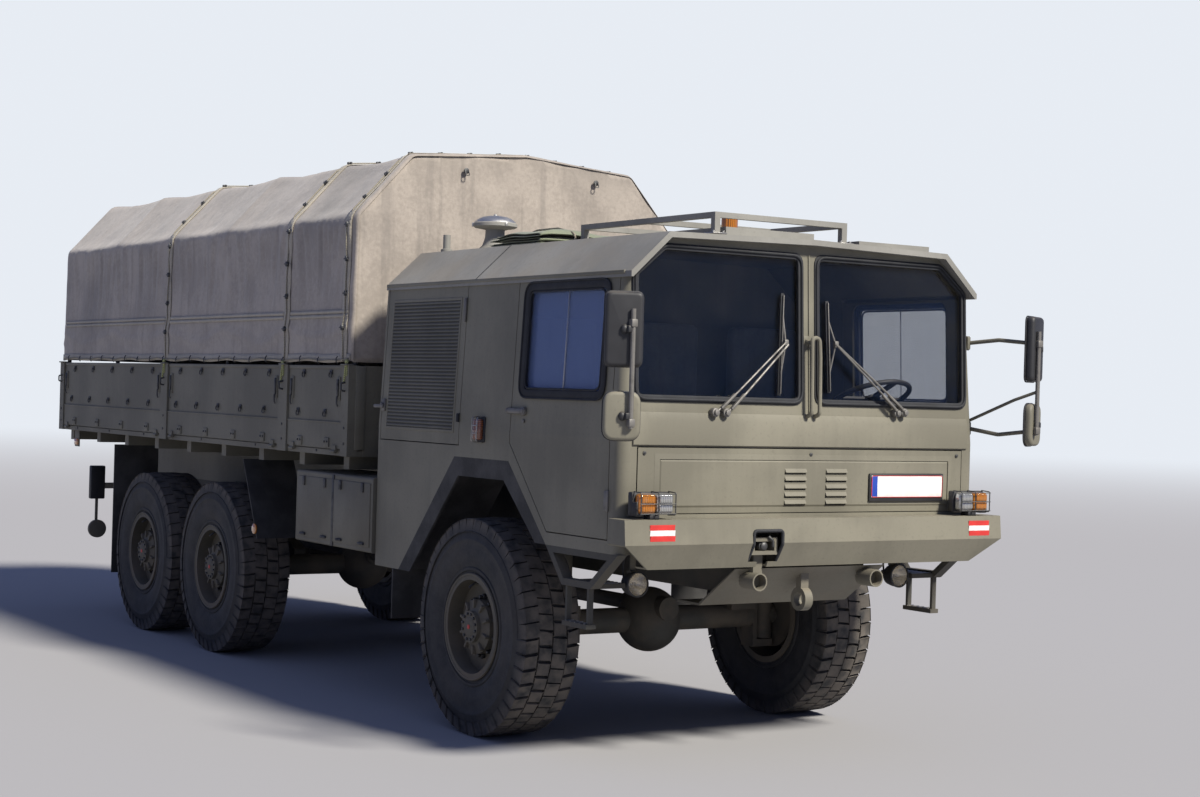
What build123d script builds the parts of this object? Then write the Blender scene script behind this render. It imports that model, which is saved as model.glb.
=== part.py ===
from build123d import *
from math import cos, hypot, radians, sin
import os

os.makedirs("parts", exist_ok=True)

# Six-wheel cargo truck, millimetres. X runs across to the truck's left side,
# Y runs from the front (minus) to the rear (plus), Z runs up from the ground.
# The origin is on the ground, at the middle of the overall length.

# Lengths from front to rear
MIRROR_REACH = 340
CAB_LENGTH = 2720
CAB_TO_BED = 350
BED_LENGTH = 5730
COUPLING_REACH = 60
OVERALL = MIRROR_REACH + CAB_LENGTH + CAB_TO_BED + BED_LENGTH + COUPLING_REACH
CAB_Y = -OVERALL / 2 + MIRROR_REACH
CAB_REAR_Y = CAB_Y + CAB_LENGTH
BED_Y = CAB_REAR_Y + CAB_TO_BED
BED_REAR_Y = BED_Y + BED_LENGTH

# Half width of the cab, and how far other pieces stand outside or inside it
CAB_HALF = 1218
TYRE_OUT = 22
BED_OUT = 32
BUMPER_OUT = 67
MIRROR_OUT = 182
SCREEN_IN = 83
PANEL_IN = 105
BUMPER_LOW_IN = 118
CLUSTER_IN = 130
ROOF_EDGE_IN = 262
LAMP_IN = 308

# Wheels and axles
TYRE_R = 620
TYRE_WIDTH = 375
TRACK_OUTER = 2 * (CAB_HALF + TYRE_OUT)
BEAD_R = 285
RIM_WALL = 18
RIM_FLANGE_R = 303
HUB_R = 155
SPINDLE_R = 60
SPINDLE_GAP = 0.3
DRUM_R = 205
WHEEL_X = TRACK_OUTER / 2 - TYRE_WIDTH / 2
TYRE_IN_X = WHEEL_X - TYRE_WIDTH / 2
FRONT_AXLE = 1480
FRONT_AXLE_Y = CAB_Y + FRONT_AXLE
WHEELBASE = 3870
BOGIE_SPACING = 1400
MID_AXLE_Y = FRONT_AXLE_Y + WHEELBASE
REAR_AXLE_Y = MID_AXLE_Y + BOGIE_SPACING
KINGPIN_IN = 380
KINGPIN_X = TRACK_OUTER / 2 - KINGPIN_IN
KINGPIN_R = 28
YOKE_HALF = 195
YOKE_ARM = 45
AXLE_TUBE_R = 75
DIFF_R = 195

# Frame
FRAME_TOP = 1140
RAIL_DEPTH = 220
RAIL_WIDTH = 85
FRAME_HALF = 410
FRAME_WALL = 12

# Cab, with places along it given from its front face
CAB_SILL_Z = 1150
BELT_Z = 1740
EAVE_Z = 2600
TUMBLE = 0.048
SCREEN_LEAN = 0.05
WALL = 40
GAP = 6
ROOF_EDGE_HALF = CAB_HALF - ROOF_EDGE_IN
ROOF_EDGE_Z = 2815
ROOF_TOP_Z = 2832
ROOF_WALL = 30
ROOF_LIP = 10
ARCH_TOP_Z = 1580
ARCH_FRONT_LOW = (704, 1150)
ARCH_FRONT_TOP = (1123, ARCH_TOP_Z)
ARCH_REAR_TOP = (1743, ARCH_TOP_Z)
ARCH_REAR_LOW = (2407, 864)
ARCH_LIP = 110
ARCH_PLATE = 15

# Doors
DOOR_FRONT = 108
DOOR_LOW_REAR = 700
DOOR_REAR = 1113
DOOR_BOTTOM_Z = 1222
DOOR_STEP_Z = 1682
DOOR_TOP_Z = 2585
WINDOW_FRONT = 190
WINDOW_REAR = 1025
WINDOW_BOTTOM_Z = 1948
WINDOW_TOP_Z = 2555
WINDOW_CORNER = 55
GLASS = 6

# Louvred engine panels, and the bulkhead ahead of them
LOUVRE_MARGIN = 30
LOUVRE_LENGTH = 990
LOUVRE_REAR = CAB_LENGTH - LOUVRE_MARGIN
LOUVRE_FRONT = LOUVRE_REAR - LOUVRE_LENGTH
BULKHEAD_AHEAD = 115
BULKHEAD = LOUVRE_FRONT - BULKHEAD_AHEAD
LOUVRE_BOTTOM_Z = 1650
LOUVRE_TOP_Z = 2570
LOUVRE_FRAME = 75
SLAT_PITCH = 42
SLAT_HEIGHT = 26

# Windscreens
SCREEN_BOTTOM_Z = 1950
SCREEN_TOP_Z = 2745
SCREEN_OUTER = CAB_HALF - SCREEN_IN
SCREEN_INNER = 52
SCREEN_CHAMFER = (185, 150)
SCREEN_CORNER = 45
SCREEN_PAST = 29.75
SCREEN_DEPTH = WALL + SCREEN_LEAN * (SCREEN_TOP_Z - BELT_Z) + SCREEN_PAST

# Front panel and bumper
PANEL_HALF = CAB_HALF - PANEL_IN
PANEL_TOP_Z = 1700
PANEL_BOTTOM_Z = 1362
PANEL_MID_Z = (PANEL_TOP_Z + PANEL_BOTTOM_Z) / 2
PANEL_THICK = 25
BUMPER_HALF = CAB_HALF + BUMPER_OUT
BUMPER_TOP_Z = 1340
BUMPER_CREASE_Z = 1212
BUMPER_BOTTOM_Z = 1082
BUMPER_REACH = 165
BUMPER_BACK = -2
BUMPER_LOW_HALF = CAB_HALF - BUMPER_LOW_IN
BUMPER_WALL = 10
BUMPER_SLOPE = 12
BUMPER_UNDERCUT = 65

# Load bed
BED_HALF = CAB_HALF + BED_OUT
BED_FLOOR_Z = 1600
BED_FLOOR = 45
RAVE_Z = 1520
SIDE_BOTTOM_Z = 1560
SIDE_TOP_Z = 2100
SIDE_THICK = 40
POST_WIDTH = 140
POST_OUT = 15
END_POST = 100
SECOND_POST = 1010
THIRD_POST = 3230
POSTS = (
    # place along the truck, width
    (BED_Y + END_POST / 2, END_POST),
    (BED_Y + SECOND_POST, POST_WIDTH),
    (BED_Y + THIRD_POST, POST_WIDTH),
    (BED_REAR_Y - END_POST / 2, END_POST),
)
HINGE_OUT = 15
HINGE_DROP = 15
TARP_BOTTOM_Z = 2122
TARP_HALF = 1246
TARP_EAVE = (1234, 3060)
TARP_SHOULDER = (850, 3480)
TARP_RIDGE_Z = 3545
TARP_WALL = 12
HOOP_R = 17

# Skid plate under the bumper, which the rails stay above
SKID_HALF = 510
SKID_DROP = 12
SKID_TOP_Z = BUMPER_BOTTOM_Z - SKID_DROP
SKID_LOW_Z = 845
SKID_THICK = 12
SKID_CLEAR = 2
SKID_FRONT_Y = CAB_Y - 60
SKID_SLOPE = 325
SKID_FLAT = 200

# How far one piece runs into another that it joins, and a cut beyond what it cuts
BURY = 20
BEYOND = 1

SIDES = (("right", -1), ("left", 1))
LOW = (Align.CENTER, Align.CENTER, Align.MIN)
HANGING = (Align.CENTER, Align.CENTER, Align.MAX)


def cab_x(z):
    """Half width of the cab's outer face at a height."""
    return CAB_HALF - TUMBLE * max(0, z - BELT_Z)


def screen_y(z):
    """Place of the cab's front face at a height."""
    return CAB_Y + SCREEN_LEAN * max(0, z - BELT_Z)


def cab_points(points):
    """Outline in the YZ plane, from places behind the cab's front face."""
    return [(CAB_Y + y, z) for y, z in points]


def skid_z(y):
    """Height of the skid plate's underside on its slope."""
    return SKID_TOP_Z - (y - SKID_FRONT_Y) * (SKID_TOP_Z - SKID_LOW_Z) / SKID_SLOPE


def save(part, name):
    """Label a finished piece and write it."""
    part.label = name
    export_step(part, f"parts/{name}.step")


# Chassis frame: two box rails, cross members and the rear beam
CROSS_YS = (
    # two ahead of the front axle, one behind the bulkhead, two by the rear axles, one at the end
    CAB_Y + 120, CAB_Y + 900, CAB_Y + BULKHEAD + 65, MID_AXLE_Y - 900, MID_AXLE_Y + 700, BED_REAR_Y - 420,
)
CROSS_HEIGHT = 120
CROSS_DEPTH = 90
FRAME_FRONT_Y = CAB_Y + BUMPER_BACK
FRAME_REAR_IN = 150
FRAME_REAR_Y = BED_REAR_Y - FRAME_REAR_IN
REAR_BEAM_DEPTH = 60
RAIL_MID_Z = FRAME_TOP - RAIL_DEPTH / 2
FRAME_LONG = FRAME_REAR_Y - FRAME_FRONT_Y
with BuildPart() as chassis_frame:
    with BuildSketch(Plane.XZ.offset(-FRAME_FRONT_Y)):
        with Locations((FRAME_HALF - RAIL_WIDTH / 2, RAIL_MID_Z), (RAIL_WIDTH / 2 - FRAME_HALF, RAIL_MID_Z)):
            Rectangle(RAIL_WIDTH, RAIL_DEPTH)
        with Locations((FRAME_HALF - RAIL_WIDTH + FRAME_WALL, RAIL_MID_Z),
                       (RAIL_WIDTH - FRAME_WALL - FRAME_HALF, RAIL_MID_Z)):
            Rectangle(2 * (RAIL_WIDTH - 2 * FRAME_WALL), RAIL_DEPTH - 2 * FRAME_WALL, mode=Mode.SUBTRACT)
    extrude(amount=-FRAME_LONG)
    with Locations(*[(0, y, RAIL_MID_Z) for y in CROSS_YS]):
        Box(2 * FRAME_HALF - 2 * FRAME_WALL, CROSS_DEPTH, CROSS_HEIGHT)
    with Locations((0, FRAME_REAR_Y + REAR_BEAM_DEPTH / 2, RAIL_MID_Z)):
        Box(2 * FRAME_HALF, REAR_BEAM_DEPTH, RAIL_DEPTH)
    with BuildSketch(Plane.YZ.offset(-FRAME_HALF - BEYOND)):
        with BuildLine():
            Polyline((SKID_FRONT_Y + SKID_THICK + SKID_CLEAR, SKID_TOP_Z),
                     (SKID_FRONT_Y + SKID_SLOPE + SKID_THICK / 2, SKID_LOW_Z + SKID_THICK),
                     (SKID_FRONT_Y, SKID_LOW_Z), close=True)
        make_face()
    extrude(amount=2 * (FRAME_HALF + BEYOND), mode=Mode.SUBTRACT)
save(chassis_frame.part, "chassis_frame")

# Front bumper: folded channel, lower corners cut off, opening for the towing jaw
JAW_X = -380
JAW_HALF = 95
JAW_TOP_Z = 1276
JAW_BOTTOM_Z = 1110
JAW_POST = 60
JAW_CUT = 50
BUMPER_DEPTH = BUMPER_REACH + BUMPER_BACK
with BuildPart() as front_bumper:
    with BuildSketch(Plane.YZ.offset(-BUMPER_HALF)):
        with BuildLine():
            Polyline((CAB_Y + BUMPER_BACK, BUMPER_TOP_Z), (CAB_Y - BUMPER_REACH + BUMPER_SLOPE, BUMPER_TOP_Z),
                     (CAB_Y - BUMPER_REACH, BUMPER_CREASE_Z),
                     (CAB_Y - BUMPER_REACH + BUMPER_UNDERCUT, BUMPER_BOTTOM_Z),
                     (CAB_Y + BUMPER_BACK, BUMPER_BOTTOM_Z), close=True)
        make_face()
    extrude(amount=2 * BUMPER_HALF)
    with BuildSketch(Plane.YZ.offset(BUMPER_WALL - BUMPER_HALF)):
        with BuildLine():
            Polyline((CAB_Y + BUMPER_BACK + BEYOND, BUMPER_TOP_Z - BUMPER_WALL),
                     (CAB_Y - BUMPER_REACH + BUMPER_SLOPE + BUMPER_WALL, BUMPER_TOP_Z - BUMPER_WALL),
                     (CAB_Y - BUMPER_REACH + BUMPER_WALL, BUMPER_CREASE_Z),
                     (CAB_Y - BUMPER_REACH + BUMPER_UNDERCUT + BUMPER_WALL, BUMPER_BOTTOM_Z + BUMPER_WALL),
                     (CAB_Y + BUMPER_BACK + BEYOND, BUMPER_BOTTOM_Z + BUMPER_WALL), close=True)
        make_face()
    extrude(amount=2 * (BUMPER_HALF - BUMPER_WALL), mode=Mode.SUBTRACT)
    with BuildSketch(Plane.XZ.offset(BUMPER_REACH - CAB_Y + BEYOND)):
        for side_name, side in SIDES:
            with BuildLine():
                Polyline((side * BUMPER_LOW_HALF, BUMPER_BOTTOM_Z - BEYOND),
                         (side * (BUMPER_HALF + BEYOND), BUMPER_BOTTOM_Z - BEYOND),
                         (side * (BUMPER_HALF + BEYOND), BUMPER_CREASE_Z), close=True)
            make_face()
        with Locations((JAW_X, (JAW_TOP_Z + JAW_BOTTOM_Z) / 2)):
            Rectangle(2 * JAW_HALF, JAW_TOP_Z - JAW_BOTTOM_Z)
        with Locations((JAW_X, JAW_BOTTOM_Z)):
            Rectangle(JAW_POST + 2 * GAP, 2 * JAW_CUT)
    extrude(amount=-(BUMPER_DEPTH + 2 * BEYOND), mode=Mode.SUBTRACT)
save(front_bumper.part, "front_bumper")

# Skid plate, tube ends, towing jaw and hook under the bumper
TUBE_R = 48
TUBE_WALL = 8
TUBE_DEPTH = 60
TUBE_X = 400
TUBE_Z = SKID_TOP_Z - TUBE_R - 18
TUBE_REACH = 125
HOOK_R = 38
HOOK_BAR = 26
HOOK_Y = CAB_Y + 20
HOOK_Z = 890
STEM_HALF = 22
JAW_MID_Z = (JAW_TOP_Z + JAW_BOTTOM_Z) / 2
JAW_WIDTH = 2 * JAW_HALF - 20
JAW_HEIGHT = 90
JAW_WALL = 20
JAW_SET_BACK = 35
JAW_END = 4
JAW_POST_DEPTH = 60
JAW_POST_Y = CAB_Y - 45
with BuildPart() as front_underrun:
    with BuildSketch(Plane.YZ.offset(-SKID_HALF)):
        with BuildLine():
            Polyline((SKID_FRONT_Y, SKID_TOP_Z), (SKID_FRONT_Y + SKID_THICK, SKID_TOP_Z),
                     (SKID_FRONT_Y + SKID_SLOPE + SKID_THICK / 3, SKID_LOW_Z + SKID_THICK),
                     (SKID_FRONT_Y + SKID_SLOPE + SKID_FLAT, SKID_LOW_Z + SKID_THICK),
                     (SKID_FRONT_Y + SKID_SLOPE + SKID_FLAT, SKID_LOW_Z),
                     (SKID_FRONT_Y + SKID_SLOPE, SKID_LOW_Z), close=True)
        make_face()
    extrude(amount=2 * SKID_HALF)
    with BuildSketch(Plane.XZ.offset(TUBE_REACH - CAB_Y)):
        with Locations((-TUBE_X, TUBE_Z), (TUBE_X, TUBE_Z)):
            Circle(TUBE_R)
    extrude(amount=-(TUBE_REACH + BUMPER_BACK))
    with BuildSketch(Plane.XZ.offset(TUBE_REACH - CAB_Y)):
        with Locations((-TUBE_X, TUBE_Z), (TUBE_X, TUBE_Z)):
            Circle(TUBE_R - TUBE_WALL)
    extrude(amount=-TUBE_DEPTH, mode=Mode.SUBTRACT)
    with BuildSketch(Plane.XZ.offset(BUMPER_REACH - JAW_SET_BACK - CAB_Y)):
        with Locations((JAW_X, JAW_MID_Z)):
            Rectangle(JAW_WIDTH, JAW_HEIGHT)
            Rectangle(JAW_WIDTH - 2 * JAW_WALL, JAW_HEIGHT - 2 * JAW_WALL, mode=Mode.SUBTRACT)
    extrude(amount=-(BUMPER_REACH - JAW_SET_BACK - JAW_END))
    with Locations((JAW_X, JAW_POST_Y, SKID_TOP_Z - TUBE_R)):
        Box(JAW_POST, JAW_POST_DEPTH, JAW_MID_Z - JAW_HEIGHT / 2 + JAW_WALL - SKID_TOP_Z + TUBE_R, align=LOW)
with BuildPart() as hook:
    with BuildSketch(Plane.YZ.offset(-HOOK_BAR)):
        with BuildLine():
            Polyline((HOOK_Y - STEM_HALF, HOOK_Z), (HOOK_Y - STEM_HALF, skid_z(HOOK_Y - STEM_HALF)),
                     (HOOK_Y + STEM_HALF, skid_z(HOOK_Y + STEM_HALF)), (HOOK_Y + STEM_HALF, HOOK_Z), close=True)
        make_face()
        with Locations((HOOK_Y, HOOK_Z)):
            Circle(HOOK_R + HOOK_BAR)
            Circle(HOOK_R, mode=Mode.SUBTRACT)
    extrude(amount=2 * HOOK_BAR)
save(Compound(children=[front_underrun.part, hook.part]), "front_underrun")

# Engine: one plain block on the rails, behind the seats
ENGINE_FRONT = BULKHEAD + 155
ENGINE_LENGTH = 880
ENGINE_HALF = 480
ENGINE_TOP_Z = 2000
ENGINE_EDGE = 40
with BuildPart() as engine:
    with Locations((0, CAB_Y + ENGINE_FRONT + ENGINE_LENGTH / 2, (FRAME_TOP + ENGINE_TOP_Z) / 2)):
        Box(2 * ENGINE_HALF, ENGINE_LENGTH, ENGINE_TOP_Z - FRAME_TOP)
    fillet(engine.edges().filter_by(Axis.Y), ENGINE_EDGE)
save(engine.part, "engine")

# Driveline: gearbox behind the engine, transfer box and propeller shafts
GEARBOX_Y = CAB_Y + ENGINE_FRONT + ENGINE_LENGTH
GEARBOX_LENGTH = 720
GEARBOX_HALF = 210
GEARBOX_Z = 1200
GEARBOX_HEIGHT = 290
CASE_EDGE = 60
TRANSFER_Y = GEARBOX_Y + 1150
TRANSFER_LENGTH = 420
TRANSFER_Z = 875
TRANSFER_HEIGHT = 560
SHAFT_R = 45
SHAFT_Z = 700
INPUT_Z = 1100
SHAFT_END = 25
with BuildPart() as driveline:
    with Locations((0, GEARBOX_Y + GEARBOX_LENGTH / 2, GEARBOX_Z)):
        Box(2 * GEARBOX_HALF, GEARBOX_LENGTH, GEARBOX_HEIGHT)
    with Locations((0, TRANSFER_Y, TRANSFER_Z)):
        Box(2 * GEARBOX_HALF, TRANSFER_LENGTH, TRANSFER_HEIGHT)
    fillet(driveline.edges().filter_by(Axis.Y), CASE_EDGE)
    with BuildSketch(Plane.XZ.offset(-(FRONT_AXLE_Y + DIFF_R + SHAFT_END))):
        with Locations((0, SHAFT_Z)):
            Circle(SHAFT_R)
    extrude(amount=-(MID_AXLE_Y - FRONT_AXLE_Y - 2 * DIFF_R - 2 * SHAFT_END))
    with BuildSketch(Plane.XZ.offset(-(MID_AXLE_Y + DIFF_R + SHAFT_END))):
        with Locations((0, SHAFT_Z)):
            Circle(SHAFT_R)
    extrude(amount=-(BOGIE_SPACING - 2 * DIFF_R - 2 * SHAFT_END))
    with BuildSketch(Plane.XZ.offset(-(GEARBOX_Y + GEARBOX_LENGTH - BURY))):
        with Locations((0, INPUT_Z)):
            Circle(SHAFT_R)
    extrude(amount=-(TRANSFER_Y - TRANSFER_LENGTH / 2 - GEARBOX_Y - GEARBOX_LENGTH + 2 * BURY))
save(driveline.part, "driveline")

# Front axle: casing, differential, yokes for the king pins, coil springs
YOKE_IN = KINGPIN_X - 110
YOKE_END = KINGPIN_X + 45
YOKE_PLATE = 30
YOKE_DEPTH = 120
ARM_DEPTH = 110
FLANGE_R = SHAFT_R + 25
SPRING_X = KINGPIN_X - 220
SPRING_R = 75
SPRING_PAD = (180, 200, 60)
SPRING_SEAT = 20
SPRING_SEAT_DEPTH = 180
SPRING_TOP_Z = FRAME_TOP - 60
with BuildPart() as front_axle:
    with BuildSketch(Plane.YZ.offset(-YOKE_IN)):
        with Locations((FRONT_AXLE_Y, TYRE_R)):
            Circle(AXLE_TUBE_R)
    extrude(amount=2 * YOKE_IN)
    with Locations((0, FRONT_AXLE_Y, TYRE_R)):
        Sphere(DIFF_R)
    with BuildSketch(Plane.XZ.offset(-(FRONT_AXLE_Y - DIFF_R - BURY))):
        with Locations((0, SHAFT_Z)):
            Circle(FLANGE_R)
    extrude(amount=-2 * (DIFF_R + BURY))
    for side_name, side in SIDES:
        with Locations((side * (YOKE_IN + YOKE_PLATE / 2), FRONT_AXLE_Y, TYRE_R)):
            Box(YOKE_PLATE, YOKE_DEPTH, 2 * YOKE_HALF)
        for end in (-1, 1):
            arm_z = TYRE_R + end * (YOKE_HALF - YOKE_ARM / 2)
            with Locations((side * (YOKE_IN + YOKE_END) / 2, FRONT_AXLE_Y, arm_z)):
                Box(YOKE_END - YOKE_IN, ARM_DEPTH, YOKE_ARM)
        with Locations((side * SPRING_X, FRONT_AXLE_Y, TYRE_R + AXLE_TUBE_R)):
            Box(*SPRING_PAD)
            Cylinder(SPRING_R, SPRING_TOP_Z - TYRE_R - AXLE_TUBE_R, align=LOW)
        seat_out = SPRING_X + SPRING_R
        with Locations((side * (seat_out + FRAME_HALF) / 2, FRONT_AXLE_Y, SPRING_TOP_Z + SPRING_SEAT / 2)):
            Box(seat_out - FRAME_HALF, SPRING_SEAT_DEPTH, SPRING_SEAT)
        with Locations((side * KINGPIN_X, FRONT_AXLE_Y, TYRE_R)):
            Cylinder(KINGPIN_R + SPINDLE_GAP, 2 * (YOKE_HALF + BURY), mode=Mode.SUBTRACT)
save(front_axle.part, "front_axle")

# Rear axles: two casings with differentials and drums, leaf springs between them
SPINDLE_OUT = WHEEL_X + 10
DRUM_IN = TYRE_IN_X + 70
DRUM_WIDTH = 88
LEAF_X = 520
LEAF_WIDTH = 90
LEAF_HEIGHT = 110
LEAF_END_Z = TYRE_R + 60
LEAF_MID_Z = TYRE_R + 170
BOGIE_MID_Y = (MID_AXLE_Y + REAR_AXLE_Y) / 2
SADDLE_Z = TYRE_R + 290
SADDLE = (240, 260)
with BuildPart() as rear_axles:
    for axle_y in (MID_AXLE_Y, REAR_AXLE_Y):
        with BuildSketch(Plane.YZ.offset(-SPINDLE_OUT)):
            with Locations((axle_y, TYRE_R)):
                Circle(SPINDLE_R)
        extrude(amount=2 * SPINDLE_OUT)
        with BuildSketch(Plane.YZ.offset(-DRUM_IN)):
            with Locations((axle_y, TYRE_R)):
                Circle(AXLE_TUBE_R)
        extrude(amount=2 * DRUM_IN)
        with Locations((0, axle_y, TYRE_R)):
            Sphere(DIFF_R)
        with BuildSketch(Plane.XZ.offset(-(axle_y - DIFF_R - BURY))):
            with Locations((0, SHAFT_Z)):
                Circle(FLANGE_R)
        extrude(amount=-2 * (DIFF_R + BURY))
        for side_name, side in SIDES:
            with BuildSketch(Plane.YZ.offset(side * (DRUM_IN + DRUM_WIDTH / 2) - DRUM_WIDTH / 2)):
                with Locations((axle_y, TYRE_R)):
                    Circle(DRUM_R)
            extrude(amount=DRUM_WIDTH)
    for side_name, side in SIDES:
        with BuildSketch(Plane.YZ.offset(side * LEAF_X - LEAF_WIDTH / 2)):
            with BuildLine():
                leaf = ThreePointArc((MID_AXLE_Y, LEAF_END_Z), (BOGIE_MID_Y, LEAF_MID_Z),
                                     (REAR_AXLE_Y, LEAF_END_Z))
                Line(leaf @ 1, (REAR_AXLE_Y, LEAF_END_Z + LEAF_HEIGHT / 2))
                ThreePointArc((REAR_AXLE_Y, LEAF_END_Z + LEAF_HEIGHT / 2),
                              (BOGIE_MID_Y, LEAF_MID_Z + LEAF_HEIGHT),
                              (MID_AXLE_Y, LEAF_END_Z + LEAF_HEIGHT / 2))
                Line((MID_AXLE_Y, LEAF_END_Z + LEAF_HEIGHT / 2), leaf @ 0)
            make_face()
        extrude(amount=LEAF_WIDTH)
        with Locations((side * (FRAME_HALF + LEAF_X + LEAF_WIDTH / 2) / 2, BOGIE_MID_Y, SADDLE_Z)):
            Box(LEAF_X + LEAF_WIDTH / 2 - FRAME_HALF, *SADDLE)
save(rear_axles.part, "rear_axles")

# Knuckles: king pin, body, spindle and brake drum
PIN_CLEAR = 6
BODY_R = 62
BODY_HALF = YOKE_HALF - YOKE_ARM - PIN_CLEAR
for side_name, side in SIDES:
    with BuildPart() as knuckle:
        with Locations((side * KINGPIN_X, FRONT_AXLE_Y, TYRE_R)):
            Cylinder(BODY_R, 2 * BODY_HALF)
            Cylinder(KINGPIN_R, 2 * YOKE_HALF)
        with BuildSketch(Plane.YZ.offset(side * KINGPIN_X)):
            with Locations((FRONT_AXLE_Y, TYRE_R)):
                Circle(SPINDLE_R)
        extrude(amount=side * (SPINDLE_OUT - KINGPIN_X))
        with BuildSketch(Plane.YZ.offset(side * DRUM_IN)):
            with Locations((FRONT_AXLE_Y, TYRE_R)):
                Circle(DRUM_R)
        extrude(amount=side * DRUM_WIDTH)
    save(knuckle.part, f"knuckle_{side_name}")

# Wheels: a tyre and a deep rim with its hub, for each row of the table
WHEELS = (
    # name, axle place, side
    ("front_right", FRONT_AXLE_Y, -1),
    ("front_left", FRONT_AXLE_Y, 1),
    ("middle_right", MID_AXLE_Y, -1),
    ("middle_left", MID_AXLE_Y, 1),
    ("rear_right", REAR_AXLE_Y, -1),
    ("rear_left", REAR_AXLE_Y, 1),
)
TYRE_HALF = TYRE_WIDTH / 2
TREAD_HALF = TYRE_HALF - 45
SHOULDER_HALF = TYRE_HALF - 18
SHOULDER_R = TYRE_R - 55
BULGE_R = 440
BEAD_HALF = TYRE_HALF - 22
BEAD_GAP = 1
RIM_FLANGE = 10
DISC_X = 60
DISC = 18
HUB_IN = -20
HUB_FLOOR = 30
HUB_OUT = TYRE_HALF - 6
CAP_R = 90
CAP_STEP = 25
HUB_STEP = 45
for wheel_name, axle_y, side in WHEELS:
    hub_plane = Plane(origin=(side * WHEEL_X, axle_y, TYRE_R), x_dir=(0, 0, 1), z_dir=(0, side, 0))
    with BuildPart() as tyre:
        with BuildSketch(hub_plane):
            with BuildLine():
                Polyline((RIM_FLANGE_R + 2 * BEAD_GAP, BEAD_GAP - BEAD_HALF),
                         (BEAD_R + BEAD_GAP, BEAD_GAP - BEAD_HALF),
                         (BEAD_R + BEAD_GAP, BEAD_HALF - BEAD_GAP),
                         (RIM_FLANGE_R + 2 * BEAD_GAP, BEAD_HALF - BEAD_GAP))
                ThreePointArc((RIM_FLANGE_R + 2 * BEAD_GAP, BEAD_HALF - BEAD_GAP), (BULGE_R, TYRE_HALF),
                              (SHOULDER_R, SHOULDER_HALF))
                Polyline((SHOULDER_R, SHOULDER_HALF), (TYRE_R, TREAD_HALF), (TYRE_R, -TREAD_HALF),
                         (SHOULDER_R, -SHOULDER_HALF))
                ThreePointArc((SHOULDER_R, -SHOULDER_HALF), (BULGE_R, -TYRE_HALF),
                              (RIM_FLANGE_R + 2 * BEAD_GAP, BEAD_GAP - BEAD_HALF))
            make_face()
        revolve(axis=Axis((side * WHEEL_X, axle_y, TYRE_R), (1, 0, 0)))
    save(tyre.part, f"tyre_{wheel_name}")
    with BuildPart() as rim:
        with BuildSketch(hub_plane):
            with BuildLine():
                Polyline((BEAD_R, -BEAD_HALF), (RIM_FLANGE_R, -BEAD_HALF),
                         (RIM_FLANGE_R, -BEAD_HALF - RIM_FLANGE),
                         (BEAD_R - RIM_WALL, -BEAD_HALF - RIM_FLANGE), (BEAD_R - RIM_WALL, DISC_X),
                         (HUB_R, DISC_X), (HUB_R, HUB_IN), (SPINDLE_R + SPINDLE_GAP, HUB_IN),
                         (SPINDLE_R + SPINDLE_GAP, HUB_FLOOR), (0, HUB_FLOOR), (0, HUB_OUT), (CAP_R, HUB_OUT),
                         (CAP_R, HUB_OUT - CAP_STEP), (HUB_R, HUB_OUT - HUB_STEP), (HUB_R, DISC_X + DISC),
                         (BEAD_R - RIM_WALL, DISC_X + DISC), (BEAD_R - RIM_WALL, BEAD_HALF + RIM_FLANGE),
                         (RIM_FLANGE_R, BEAD_HALF + RIM_FLANGE), (RIM_FLANGE_R, BEAD_HALF), (BEAD_R, BEAD_HALF),
                         close=True)
            make_face()
        revolve(axis=Axis((side * WHEEL_X, axle_y, TYRE_R), (1, 0, 0)))
    save(rim.part, f"rim_{wheel_name}")


# Cab: one outline across, one outline along, and what they enclose
UNDER_Z = EAVE_Z - ROOF_WALL
EDGE_IN = 12
SECTION_TOP = [(cab_x(UNDER_Z), UNDER_Z), (ROOF_EDGE_HALF - EDGE_IN, ROOF_EDGE_Z - ROOF_WALL),
               (0, ROOF_TOP_Z - ROOF_WALL)]
FENDER_LOW_Z = ARCH_REAR_LOW[1]
ABOVE_Z = ROOF_TOP_Z + 100
CORNER_R = 60
FOOT_Z = CAB_SILL_Z + WALL
ARCH_SLACK = 15
REAR_OPEN_Z = 1500
BASE_Z = 500


def full_section(inset, low_z):
    """Cab section in the XZ plane up to the underside of the roof."""
    right = [(inset - CAB_HALF, low_z), (inset - CAB_HALF, BELT_Z)]
    right += [(inset - x if x else 0, z) for x, z in SECTION_TOP]
    left = [(-x, z) for x, z in reversed(right[:-1])]
    return right + left


def wall_section(inset, low_z, high_z):
    """Side wall section in the XZ plane, open at the roof."""
    right = [(inset - CAB_HALF, low_z), (inset - CAB_HALF, BELT_Z), (inset - cab_x(high_z), high_z)]
    left = [(-x, z) for x, z in reversed(right)]
    return right + left


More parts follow.
